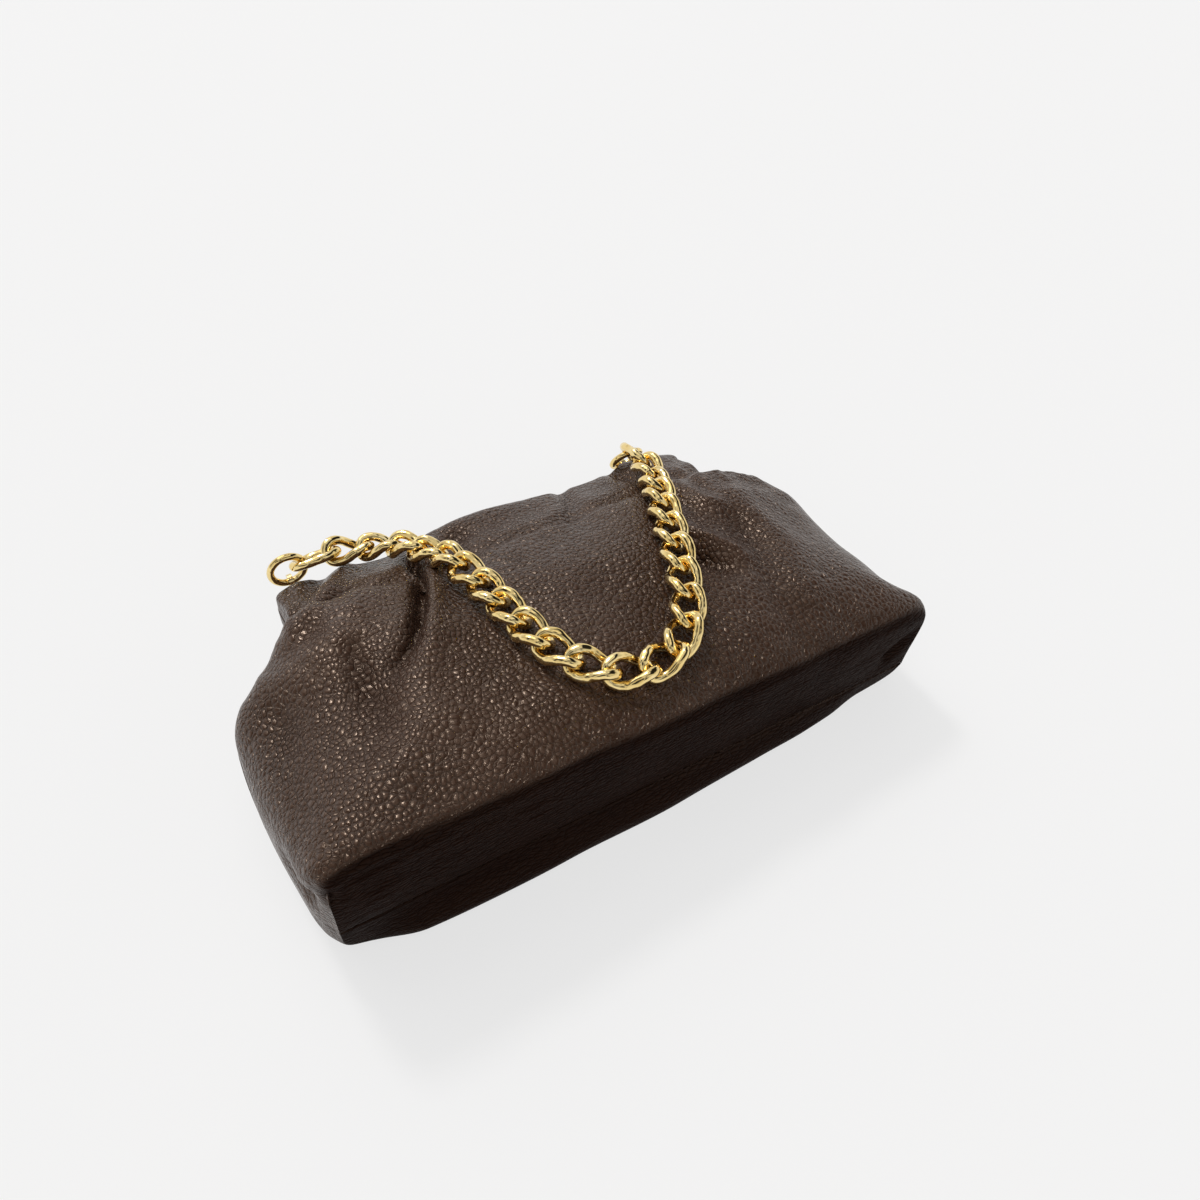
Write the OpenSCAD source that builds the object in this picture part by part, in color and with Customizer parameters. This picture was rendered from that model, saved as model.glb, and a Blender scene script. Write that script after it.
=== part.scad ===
// Gathered leather shoulder bag with a curb chain, lying on its back panel.
// X runs along the base fold, +Y points to the mouth, +Z up through the front panel.
// The origin is on the floor, under the middle of the bag.

/* [Bag body] */
// Width of the bag along its base fold
base_w = 300; // [260:5:340]
// Distance from the base to the lip of the mouth
bag_d = 172; // [160:2:200]
// Height of the base at its left end
base_h_left = 75; // [66:1:84]
// Height of the base at its right end, where the bag sags
base_h_right = 57; // [50:1:66]
// Height of the full belly of the front panel
belly_h = 73; // [68:1:84]
// Thickness of the leather
leather_t = 2.2; // [1.8:0.1:2.6]
// Thickness of the fabric lining
lining_t = 0.8; // [0.6:0.1:1.2]
// Thickness of the board that stiffens the base
board_t = 2; // [1.5:0.1:3]

/* [Mouth] */
// Length of the stiff lip
mouth_w = 230; // [200:5:240]
// Height of the plane where the two halves of the mouth meet
mouth_z = 32; // [30:1:36]
// Distance from the frame hinge to the lip
leg_l = 29; // [27:1:33]
// Radius of the leather's roll round the frame hinge
roll_r = 19; // [17:0.5:20]
// Radius of the rounded lip
lip_r = 4.5; // [4:0.1:5]
// Height of the lip's rounding centre above the parting plane
lip_rise = 3; // [2.5:0.1:3.5]

/* [Frame] */
// Width of the steel strip of the frame
strip_w = 7; // [6:0.1:8]
// Thickness of the steel strip
strip_t = 2; // [1.6:0.1:2.4]
// Thickness of the leather facing inside the lip
facing_t = 1.2; // [1:0.1:1.6]
// Thickness of the lip board
lip_board_t = 1.2; // [1:0.1:1.4]
// Diameter of the hinge pins
pin_d = 3; // [2.6:0.1:3.4]
// Diameter of the closing magnets
magnet_d = 14; // [10:0.5:15]
// Distance of each magnet from the middle of the mouth
magnet_x = 45; // [30:1:60]

/* [Chain] */
// Thickness of the chain wire
wire_d = 4.2; // [3.6:0.1:4.3]
// Width of a link before it is twisted
link_w = 20; // [18.5:0.1:21]
// Twist of each end of a link
link_twist = 38; // [34:1:42]
// Play between two links along the chain
link_play = 1; // [0.8:0.1:1.2]
// Thickness of the wire of the end rings
ring_wire_d = 3.6; // [3:0.1:3.8]
// Radius of the end rings to the middle of their wire
ring_r = 8.5; // [8:0.1:9.5]
// Distance of the left chain tab from the middle of the mouth
left_tab_x = 107; // [100:0.5:107.5]
// Distance of the right chain tab from the middle of the mouth
right_tab_x = 88; // [74:0.5:107.5]
// Outer diameter of the eye that holds an end ring
eye_d = 7.6; // [7.2:0.1:8]

/* [Hidden] */
link_count = 24;
first_link = 21;
$fn = 48;

// Clearances and overruns
seam_gap = 0.15;
parting_gap = 0.15;
layer_gap = 0.3;
side_gap = 1;
roll_gap = 0.6;
pin_gap = 0.1;
eye_gap = 0.8;
bore_gap = 0.3;
slot_gap = 0.4;
chain_gap = 0.4;
overrun = 1;
lift_step = 0.7;
floor_dip = 0.8;
base_bulge = 1.5;
band_bevel = 2.5;

// Small sizes of the hardware
head_t = 1;
head_rise = 1;
tab_t = 1.6;
tab_w = 7;
lug_w = 2.4;
rivet_d = 2.5;
rivet_head_d = 4.4;
rivet_head_t = 0.8;
rivet_gap = 0.05;
link_swell = 0.05;
// Lean of the end rings, measured up from the base side
ring_leans = [90, 64];

// Places derived from the sizes above
lip_y = bag_d / 2;
base_y = -bag_d / 2;
hinge_y = lip_y - leg_l;
split_turn = 18;
split_y = hinge_y - (roll_r + roll_gap) * sin(split_turn);
split_share = (split_y - base_y) / bag_d;
rim_z = mouth_z + (roll_r + roll_gap) * cos(split_turn) + leather_t;
lip_half = lip_rise + lip_r;
mouth_half = mouth_w / 2 + side_gap + leather_t;
base_half = base_w / 2;
base_h_mean = (base_h_left + base_h_right) / 2;

// Share of the base height at which the base seam runs, at its two ends
seam_left_share = 0.38;
seam_right_share = 0.27;
// Half widths to the left and right, as shares of half the base width
left_shares = [[0, 1], [0.1, 1.045], [0.34, 1.13], [0.6, 1.09], [0.8, 1]];
right_shares = [[0, 1], [0.1, 1.035], [0.34, 1.045], [0.6, 1.05], [0.8, 1.05]];
// How far the outline has drawn in to the mouth, as shares
left_mouth_shares = [[0, 0], [0.5, 0], [0.62, 0.08], [0.71, 0.45], [0.79, 0.96], [0.8, 1], [1, 1]];
right_mouth_shares = [[0, 0], [0.58, 0], [0.68, 0.08], [0.74, 0.4], [0.79, 0.96], [0.8, 1], [1, 1]];
// How far the front height follows the base, the rim and the tilt, as shares
base_weight_shares = [[0, 1], [0.06, 0.5], [0.14, 0.1], [0.22, 0], [1, 0]];
rim_weight_shares = [[0, 0], [0.33, 0], [0.45, 0.08], [0.55, 0.17], [0.66, 0.36], [0.75, 0.66], [0.8, 1], [1, 1]];
tilt_shares = [[0, 1], [0.1, 0.6], [0.25, 0.1], [0.4, 0], [1, 0]];
// How square the front and the back are across, from base to mouth
front_square_shares = [[0, 12], [0.1, 6], [0.3, 3.2], [0.6, 2.9], [0.74, 5], [0.8, 14], [1, 14]];
back_square_shares = [[0, 6], [0.2, 4], [0.5, 4], [0.7, 10], [0.8, 30], [1, 30]];
// How far the back has risen from the floor to the roll of the mouth, as shares
rise_shares = [[0, 0], [0.58, 0], [0.66, 0.12], [0.73, 0.5], [0.8, 1], [1, 1]];
// Pleats: place at the rim and at the belly, depth and width, as shares
pleat_shares = [
    [-0.84, -0.98, 0.045, 0.09], [-0.42, -0.58, 0.065, 0.1], [0.1, 0.04, 0.03, 0.12],
    [0.58, 0.66, 0.05, 0.11], [0.86, 0.98, 0.03, 0.09]
];
pleat_fade_shares = [[0, 0], [0.3, 0], [0.5, 0.7], [0.64, 1], [0.74, 0.5], [0.79, 0], [1, 0]];
// Rows of the shells from the base to the split
row_shares = [0, 0.04, 0.1, 0.17, 0.26, 0.37, 0.48, 0.58, 0.66, 0.73, 0.82, 0.9, 0.96, 1];
columns = 28;
least_step_share = 0.01;

// Route of the chain over the bag, from the left end ring to the right one, as shares of the
// distance of the tab on that side and of half the depth
route_shares = [
    [-0.841, 1.06], [-0.687, 1.045], [-0.561, 0.96], [-0.47, 0.79], [-0.4, 0.56], [-0.357, 0.27],
    [-0.329, -0.02], [-0.301, -0.28], [-0.252, -0.48], [-0.168, -0.64], [-0.042, -0.73], [0.136, -0.74],
    [0.315, -0.64], [0.452, -0.45], [0.562, -0.2], [0.673, 0.05], [0.75, 0.23], [0.823, 0.4],
    [0.903, 0.57], [0.972, 0.74], [0.997, 0.88]
];
// Turn of the links about the chain, from its left to its right end
roll_turns = [[0, -14], [0.14, 0], [0.8, 0], [0.93, -9], [1, -15]];
route_steps = 120;

// Value through a table of rows [place, value], on a smooth curve
function table_row(t, u) = min(len(t) - 2, max([0, for (k = [0 : len(t) - 1]) if (t[k][0] <= u) k]));
function table_slope(t, k) =
    let (a = max(0, k - 1), b = min(len(t) - 1, k + 1))
    (t[b][1] - t[a][1]) / (t[b][0] - t[a][0]);
function along(t, u) =
    let (
        k = table_row(t, u),
        h = t[k + 1][0] - t[k][0],
        v = min(1, max(0, (u - t[k][0]) / h))
    )
    (2 * pow(v, 3) - 3 * v * v + 1) * t[k][1]
    + (pow(v, 3) - 2 * v * v + v) * h * table_slope(t, k)
    + (3 * v * v - 2 * pow(v, 3)) * t[k + 1][1]
    + (pow(v, 3) - v * v) * h * table_slope(t, k + 1);

function unit(v) = v / norm(v);
function share_y(s) = base_y + s * bag_d;
function y_share(y) = (y - base_y) / bag_d;

// Outline, seam and heights of the body at a share s of its depth
function half_w(s, side) =
    let (m = along(side < 0 ? left_mouth_shares : right_mouth_shares, s))
    base_half * along(side < 0 ? left_shares : right_shares, min(s, split_share)) * (1 - m)
    + mouth_half * m;
function base_h(x) = base_h_mean + (base_h_right - base_h_left) / 2 * x / base_half;
function seam_z(x, s) =
    let (
        u = min(1, max(0, (1 + x / base_half) / 2)),
        at_base = base_h(x) * (seam_left_share * (1 - u) + seam_right_share * u),
        t = min(1, s / split_share)
    )
    at_base * (1 - t) + mouth_z * t;
function arch(e, n) = pow(max(0, 1 - pow(abs(e), n)), 1 / n);
function bell(x, w) = exp(-pow(x / w, 2));
function pleats(x, s) =
    let (t = min(1, s / split_share))
    along(pleat_fade_shares, s) * belly_h
    * [for (p = pleat_shares) p[2] * bell(x - base_half * (p[1] * (1 - t) + p[0] * t), base_half * p[3])]
    * [for (p = pleat_shares) 1];
function front_h(x, s) =
    let (b = along(base_weight_shares, s), r = along(rim_weight_shares, s))
    base_h_mean * b + rim_z * r + belly_h * (1 - b - r)
    + (base_h(x) - base_h_mean) * along(tilt_shares, s) - pleats(x, s);

// Points of the front and back skins, set in by t
function front_point(s, e, t) =
    let (x = e * (half_w(s, e) - t), z = seam_z(x, s))
    [x, max(share_y(s), base_y + t),
     z + seam_gap + (front_h(x, s) - t - z - seam_gap) * arch(e, along(front_square_shares, s))];
function back_bottom(s) = along(rise_shares, s) * (2 * mouth_z - rim_z);
function back_point(s, e, t) =
    let (x = e * (half_w(s, e) - t), z = seam_z(x, s), low = back_bottom(s) - floor_dip + t)
    [x, max(share_y(s), base_y + t),
     max(t, z - seam_gap - (z - seam_gap - low) * arch(e, along(back_square_shares, s)))];
function column(j, n) = -cos(180 * j / n);

// Closed shell between an outer and an inner grid of points
module shell(outer, inner) {
    rows = len(outer);
    cols = len(outer[0]);
    inner_start = rows * cols;
    function at(i, j) = i * cols + j;
    function quad(a, b, c, d) = [[a, b, c], [a, c, d]];
    edge = concat(
        [for (j = [0 : cols - 1]) at(0, j)],
        [for (i = [1 : rows - 1]) at(i, cols - 1)],
        [for (j = [cols - 2 : -1 : 0]) at(rows - 1, j)],
        [for (i = [rows - 2 : -1 : 1]) at(i, 0)]
    );
    polyhedron(
        points = concat([for (r = outer) each r], [for (r = inner) each r]),
        faces = concat(
            [for (i = [0 : rows - 2]) for (j = [0 : cols - 2])
                each quad(at(i, j), at(i + 1, j), at(i + 1, j + 1), at(i, j + 1))],
            [for (i = [0 : rows - 2]) for (j = [0 : cols - 2])
                each quad(inner_start + at(i, j), inner_start + at(i, j + 1),
                    inner_start + at(i + 1, j + 1), inner_start + at(i + 1, j))],
            [for (k = [0 : len(edge) - 1])
                let (a = edge[k], b = edge[(k + 1) % len(edge)])
                each quad(a, b, inner_start + b, inner_start + a)]
        )
    );
}

// Rows of one skin: the base seam, then the panel from the base up
function front_grid(t) = concat(
    [[for (j = [0 : columns])
        let (e = column(j, columns), p = front_point(0, e, t))
        [p[0], base_y - base_bulge + t, seam_z(p[0], 0) + seam_gap]]],
    [for (r = row_shares) [for (j = [0 : columns]) front_point(r * split_share, column(j, columns), t)]]
);
function back_grid(t) = concat(
    [[for (j = [columns : -1 : 0])
        let (e = column(j, columns), p = back_point(0, e, t))
        [p[0], base_y - base_bulge + t, seam_z(p[0], 0) - seam_gap]]],
    [for (r = row_shares) [for (j = [columns : -1 : 0]) back_point(r * split_share, column(j, columns), t)]]
);

module front_panel() {
    color("#43352e")
    shell(front_grid(0), front_grid(leather_t));
}

module back_panel() {
    color("#3b2e28")
    shell(back_grid(0), back_grid(leather_t));
}

// One half of the mouth: leather that rolls round the hinge, slopes down and wraps the lip
lip_centre = [lip_y - lip_r, mouth_z + lip_rise];
hinge = [hinge_y, mouth_z];
lip_line_turn = atan2(lip_centre[1] - hinge[1], lip_centre[0] - hinge[0])
    + acos((roll_r - lip_r) / norm(lip_centre - hinge));
front_roll_start = 90 + split_turn;
back_roll_start = 130;
roll_open = 4;
roll_steps = 12;
lip_steps = 8;
function on_circle(c, r, a) = c + r * [cos(a), sin(a)];
function band_outline(start, t) = concat(
    [for (k = [0 : roll_steps])
        on_circle(hinge, roll_r - t, start + (lip_line_turn - start) * k / roll_steps)],
    [for (k = [0 : lip_steps]) on_circle(lip_centre, lip_r - t, lip_line_turn * (1 - k / lip_steps))]
);

// Outline in Y and Z, drawn out along X from a to b
module across(a, b) {
    translate([a, 0, 0])
    rotate([90, 0, 90])
    linear_extrude(height = b - a)
    children();
}
module both_sides() {
    children();
    mirror([1, 0, 0]) children();
}

band_half = mouth_w / 2;
parting_z = mouth_z + parting_gap;
strip_z = parting_z + facing_t;
board_z = strip_z + strip_t;
strip_out = band_half - leather_t - head_t - 2 * layer_gap;
strip_in = strip_out - strip_w;
tab_places = [-left_tab_x, right_tab_x];
bar_end = lip_y - leather_t - layer_gap;
bar_y = bar_end - strip_w / 2;
hinge_eye_r = board_z - mouth_z;
hinge_eye_w = strip_w / 2 - parting_gap;
leg_start = hinge_y + hinge_eye_r + 2 * layer_gap;
facing_start = leg_start + layer_gap;
magnet_y = bar_end - strip_w - layer_gap - magnet_d / 2;

// Eye of the chain tab, outside the lip
eye_z = board_z + tab_t / 2;
eye_y = lip_y + eye_gap + eye_d / 2;

module mouth_band(start) {
    difference() {
        across(-band_half, band_half)
        polygon(concat(band_outline(start, 0), [[lip_y, parting_z], [hinge_y, parting_z]]));
        across(leather_t - band_half, band_half - leather_t)
        polygon(concat(
            [on_circle(hinge, roll_r - leather_t, start + roll_open)],
            band_outline(start, leather_t),
            [[lip_y - leather_t, parting_z - overrun], [hinge_y - overrun, parting_z - overrun]]
        ));
    }
}
module front_mouth_band() {
    color("#463830")
    difference() {
        mouth_band(front_roll_start);
        for (x = tab_places) {
            translate([x - lug_w / 2 - slot_gap, bar_y, board_z - slot_gap])
            cube([lug_w + 2 * slot_gap, strip_w, tab_t + 2 * slot_gap]);
            translate([x, bar_y, board_z])
            cylinder(d = rivet_head_d + 2 * layer_gap, h = tab_t + rivet_head_t + layer_gap);
        }
    }
}
// The back half turns under the back panel, so the ends of its roll are bevelled
module back_mouth_band() {
    color("#3f322b")
    to_back()
    difference() {
        mouth_band(back_roll_start);
        both_sides()
        translate([band_half - band_bevel, hinge_y, mouth_z])
        rotate([0, 90, 0])
        difference() {
            cylinder(r = roll_r + 2 * overrun, h = band_bevel + overrun);
            cylinder(r1 = roll_r, r2 = roll_r - band_bevel, h = band_bevel);
        }
    }
}

// The lining is a pouch of its own inside the leather, open towards the mouth
lining_inset = leather_t + 2 * layer_gap;
lining_end_share = y_share(hinge_y - roll_r - overrun);
lining_base_y = base_y + leather_t + board_t + 2 * layer_gap;
function lining_loop(s, t) = concat(
    [for (j = [0 : columns]) lining_place(front_point(s, column(j, columns), t), t)],
    [for (j = [columns : -1 : 0]) lining_place(back_point(s, column(j, columns), t), t)]
);
function lining_place(p, t) = [p[0], max(p[1], lining_base_y + t - lining_inset), p[2]];
module lining() {
    rows = [for (r = row_shares)
        let (s = r * split_share)
        if (share_y(s) > lining_base_y + 2 * lining_t && s < lining_end_share - least_step_share) s];
    shares = concat([0], rows, [lining_end_share]);
    outer = [for (s = shares) lining_loop(s, lining_inset)];
    inner = [for (s = shares) lining_loop(s, lining_inset + lining_t)];
    last = len(outer) - 1;
    cols = len(outer[0]);
    inner_start = len(outer) * cols;
    function at(i, j) = i * cols + j % cols;
    function quad(a, b, c, d) = [[a, b, c], [a, c, d]];
    color("#8a7462")
    polyhedron(
        points = concat([for (r = outer) each r], [for (r = inner) each r]),
        faces = concat(
            [[for (j = [0 : cols - 1]) j]],
            [[for (j = [cols - 1 : -1 : 0]) inner_start + j]],
            [for (i = [0 : last - 1]) for (j = [0 : cols - 1])
                each quad(at(i, j), at(i + 1, j), at(i + 1, j + 1), at(i, j + 1))],
            [for (i = [0 : last - 1]) for (j = [0 : cols - 1])
                each quad(inner_start + at(i, j), inner_start + at(i, j + 1),
                    inner_start + at(i + 1, j + 1), inner_start + at(i + 1, j))],
            [for (j = [0 : cols - 1])
                each quad(at(last, j), inner_start + at(last, j),
                    inner_start + at(last, j + 1), at(last, j + 1))]
        )
    );
}

// Stiff board behind the leather of the base, cut to the outline of the base
board_inset = leather_t + 4 * layer_gap;
module base_board() {
    color("#9c8f7c")
    translate([0, base_y + leather_t + layer_gap + board_t, 0])
    rotate([90, 0, 0])
    linear_extrude(height = board_t)
    polygon(concat(
        [for (j = [0 : columns])
            let (p = front_point(0, column(j, columns), board_inset)) [p[0], p[2]]],
        [for (j = [columns : -1 : 0])
            let (p = back_point(0, column(j, columns), board_inset)) [p[0], p[2]]]
    ));
}

// Steel frame: a bar in the lip, two legs, and a hinge eye on one half of each leg
module frame_half(eye_start) {
    difference() {
        union() {
            translate([-strip_out, bar_end - strip_w, strip_z])
            cube([2 * strip_out, strip_w, strip_t]);
            both_sides() {
                translate([strip_in, leg_start, strip_z])
                cube([strip_w, bar_end - leg_start - strip_w / 2, strip_t]);
                translate([eye_start, hinge_y, strip_z])
                cube([hinge_eye_w, leg_start - hinge_y + overrun, strip_t]);
                translate([eye_start, hinge_y, mouth_z])
                rotate([0, 90, 0])
                cylinder(r = hinge_eye_r, h = hinge_eye_w);
            }
        }
        both_sides() {
            translate([eye_start - overrun, hinge_y, mouth_z])
            rotate([0, 90, 0])
            cylinder(d = pin_d + 2 * pin_gap, h = hinge_eye_w + 2 * overrun);
        }
    }
}
// The back half mirrors the front one in the parting plane
module to_back() {
    translate([0, 0, 2 * mouth_z])
    mirror([0, 0, 1])
    children();
}
module front_frame() {
    color("#b9bcc0")
    difference() {
        frame_half(strip_in);
        for (x = tab_places)
            translate([x, bar_y, strip_z - overrun])
            cylinder(d = rivet_d + 2 * rivet_gap, h = strip_t + 2 * overrun);
    }
}
module back_frame() {
    color("#b9bcc0") to_back() frame_half(strip_out - hinge_eye_w);
}

module hinge_pin_left() {
    mirror([1, 0, 0]) hinge_pin_right();
}
module hinge_pin_right() {
    shaft = strip_w + 2 * parting_gap;
    color("#c9ccd0")
    translate([strip_in - parting_gap, hinge_y, mouth_z])
    rotate([0, 90, 0]) {
        cylinder(d = pin_d, h = shaft);
        for (z = [-head_t, shaft])
            translate([0, 0, z]) cylinder(d = pin_d + 2 * head_rise, h = head_t);
    }
}

module facing() {
    translate([-strip_out, facing_start, parting_z])
    cube([2 * strip_out, bar_end - facing_start, facing_t]);
}
module front_facing() {
    color("#4d3c33") facing();
}
module back_facing() {
    color("#4d3c33") to_back() facing();
}

// Board that covers the bar and the magnets and keeps the lip straight
module lip_board() {
    half = min(tab_places[1], -tab_places[0]) - tab_w / 2 - layer_gap;
    translate([-half, facing_start + layer_gap, board_z])
    cube([2 * half, bar_y + strip_w / 4 - facing_start, lip_board_t]);
}
module front_lip_board() {
    color("#a89a84") lip_board();
}
module back_lip_board() {
    color("#a89a84") to_back() lip_board();
}

module magnet_pair() {
    both_sides()
    translate([magnet_x, magnet_y, strip_z])
    cylinder(d = magnet_d, h = strip_t);
}
module front_magnets() {
    color("#d0d2d4") magnet_pair();
}
module back_magnets() {
    color("#d0d2d4") to_back() magnet_pair();
}

// Brass tab on the bar: a plate, a neck through the lip and an eye for the end ring
tab_start = bar_end - strip_w + layer_gap;
tab_end = lip_centre[0] + layer_gap;
module chain_tab(x) {
    color("#d8b45a")
    translate([x, 0, 0])
    difference() {
        union() {
            translate([-tab_w / 2, tab_start, board_z])
            cube([tab_w, tab_end - tab_start, tab_t]);
            translate([-lug_w / 2, tab_start, board_z])
            cube([lug_w, eye_y - tab_start, tab_t]);
            translate([-lug_w / 2, eye_y, eye_z])
            rotate([0, 90, 0])
            cylinder(d = eye_d, h = lug_w);
        }
        translate([-lug_w / 2 - overrun, eye_y, eye_z])
        rotate([0, 90, 0])
        cylinder(d = ring_wire_d + 2 * bore_gap, h = lug_w + 2 * overrun);
        translate([0, bar_y, board_z - overrun])
        cylinder(d = rivet_d + 2 * rivet_gap, h = tab_t + 2 * overrun);
    }
}
module chain_tab_left() {
    chain_tab(tab_places[0]);
}
module chain_tab_right() {
    chain_tab(tab_places[1]);
}
module tab_rivets() {
    color("#e3c979")
    for (x = tab_places)
        translate([x, bar_y, strip_z]) {
            cylinder(d = rivet_d, h = strip_t + tab_t);
            translate([0, 0, strip_t + tab_t])
            cylinder(d = rivet_head_d, h = rivet_head_t);
        }
}

// End rings: each hangs in its eye and leans over the lip, as the chain holds it
function ring_centre(i) =
    [tab_places[i], eye_y - ring_r * cos(ring_leans[i]), eye_z + ring_r * sin(ring_leans[i])];
module end_ring(i) {
    color("#e8cf7e")
    translate(ring_centre(i))
    rotate([-ring_leans[i], 0, 0])
    rotate_extrude()
    translate([ring_r, 0])
    circle(d = ring_wire_d);
}
module end_ring_left() {
    end_ring(0);
}
module end_ring_right() {
    end_ring(1);
}

// Height of the bag's front under a point of the chain
function band_z(y) =
    let (roll_edge = on_circle(hinge, roll_r, lip_line_turn), lip_edge = on_circle(lip_centre, lip_r, lip_line_turn))
    y < roll_edge[0] ? hinge[1] + sqrt(max(0, pow(roll_r, 2) - pow(y - hinge[0], 2)))
    : y < lip_edge[0] ? roll_edge[1]
        + (lip_edge[1] - roll_edge[1]) * (y - roll_edge[0]) / (lip_edge[0] - roll_edge[0])
    : y < lip_y ? lip_centre[1] + sqrt(max(0, pow(lip_r, 2) - pow(y - lip_centre[0], 2)))
    : 0;
function surface_z(x, y) =
    let (s = y_share(y), e = x / half_w(s, x))
    y > split_y ? band_z(y)
    : abs(e) >= 1 ? 0
    : front_point(s, e, 0)[2];
link_b = (link_w - wire_d) / 2;
twist_rise = link_b * sin(link_twist);
chain_half_t = twist_rise + wire_d / 2;
chain_reach = link_b;
ring_level = ring_centre(0)[2];
function ground_z(x, y) = max(surface_z(x, y), ring_level - chain_half_t - chain_gap);
function soft_z(x, y) =
    (ground_z(x, y - chain_reach) + ground_z(x, y) + ground_z(x, y + chain_reach)
    + ground_z(x - chain_reach, y) + ground_z(x + chain_reach, y)) / 5;
function surface_up(x, y) = unit([
    soft_z(x - chain_reach, y) - soft_z(x + chain_reach, y),
    soft_z(x, y - chain_reach) - soft_z(x, y + chain_reach),
    2 * chain_reach
]);

// Route of the chain from ring to ring, and its length up to each point
hook_in = link_play / 2 + wire_d / 2 + chain_gap / 2;
left_hook = ring_centre(0) + [ring_r - hook_in, 0, 0];
right_hook = ring_centre(1) + (ring_r - hook_in) * [0, -cos(ring_leans[1]), sin(ring_leans[1])];
route_rows = [for (k = [0 : len(route_shares) - 1])
    let (x = route_shares[k][0])
    [k, [x * (x < 0 ? left_tab_x : right_tab_x), route_shares[k][1] * bag_d / 2]]];
function over_bag(p) = let (up = surface_up(p[0], p[1]))
    [p[0], p[1], soft_z(p[0], p[1]) + (chain_half_t + chain_gap) / up[2]];
route = concat(
    [left_hook],
    [for (k = [0 : route_steps]) over_bag(along(route_rows, (len(route_shares) - 1) * k / route_steps))],
    [right_hook]
);
function run_up(list, k = 0, total = 0) =
    k >= len(list) - 1 ? [total]
    : concat([total], run_up(list, k + 1, total + norm(list[k + 1] - list[k])));
route_lengths = run_up(route);
route_length = route_lengths[len(route_lengths) - 1];
link_pitch = route_length / link_count;
route_tables = [for (i = [0 : 2]) [for (k = [0 : len(route) - 1]) [route_lengths[k], route[k][i]]]];
function route_at(d) = [for (t = route_tables) lookup(d, t)];
link_a = (link_pitch + wire_d + link_play) / 2 - link_b;

// Place of link k: its middle, its length, its width and its upward direction
function link_middle(k) = (route_at(link_pitch * k) + route_at(link_pitch * (k + 1))) / 2;
function link_axis(k) = unit(route_at(link_pitch * (k + 1)) - route_at(link_pitch * k));
function link_up(k) =
    let (
        m = link_middle(k), a = link_axis(k), n = surface_up(m[0], m[1]),
        side = unit(cross(n, a)), up = cross(a, side), r = along(roll_turns, k / (link_count - 1))
    )
    up * cos(r) + side * sin(r);
// Points along the wire of a link, as [along, across, up]
function link_end(e) = [for (t = [-90 : 11.25 : 90])
    [e * (link_a + link_b * cos(t)), link_b * sin(t) * cos(link_twist), e * twist_rise * sin(t)]];
// Lowest place for the middle of the wire as it passes round the lip
function over_lip_z(y) =
    let (reach = lip_r + wire_d / 2 + chain_gap, off = y - lip_centre[0])
    abs(off) < reach ? lip_centre[1] + sqrt(reach * reach - off * off) : 0;
// How far each link moves up so that its wire just clears the bag, in even steps
link_lifts = [for (k = [0 : link_count - 1])
    let (m = link_middle(k), a = link_axis(k), up = link_up(k), side = cross(up, a))
    max([for (q = concat(link_end(-1), link_end(1)))
        let (p = m + a * q[0] + side * q[1] + up * q[2])
        max(ground_z(p[0], p[1]) + wire_d / 2 + chain_gap, over_lip_z(p[1])) - p[2]])];
function link_lift(k) = max([for (i = [0 : link_count - 1]) link_lifts[i] - lift_step * abs(i - k)]);

// One curb link: two half rings turned against each other, and two slanting sides
module curb_link() {
    slope = atan2(2 * twist_rise, 2 * link_a);
    side_l = norm([2 * link_a, 2 * twist_rise]);
    for (e = [-1, 1]) {
        translate([e * link_a, 0, 0])
        rotate([e * link_twist, 0, 0])
        rotate([0, 0, -e * 90])
        rotate_extrude(angle = 180)
        translate([link_b, 0])
        circle(d = wire_d);
        translate([0, e * link_b * cos(link_twist), 0])
        rotate([0, 90 - e * slope, 0])
        cylinder(d = wire_d, h = side_l, center = true);
        for (f = [-1, 1])
            translate([f * link_a, e * link_b * cos(link_twist), e * f * twist_rise])
            sphere(d = wire_d + 2 * link_swell);
    }
}
module link(k) {
    m = link_middle(k);
    a = link_axis(k);
    up = link_up(k);
    side = cross(up, a);
    color("#e8cf7e")
    translate([m[0], m[1], m[2] + link_lift(k)])
    multmatrix([
        [a[0], side[0], up[0], 0],
        [a[1], side[1], up[1], 0],
        [a[2], side[2], up[2], 0],
        [0, 0, 0, 1]
    ])
    curb_link();
}

front_panel();
back_panel();
front_mouth_band();
back_mouth_band();
lining();
base_board();
front_frame();
back_frame();
hinge_pin_left();
hinge_pin_right();
front_facing();
back_facing();
front_lip_board();
back_lip_board();
front_magnets();
back_magnets();
chain_tab_left();
chain_tab_right();
tab_rivets();
end_ring_left();
end_ring_right();
for (k = [0 : link_count - 1])
    link(k);
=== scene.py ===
import bpy
import itertools
import math
import numpy as np
from mathutils import Matrix, Vector


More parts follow.
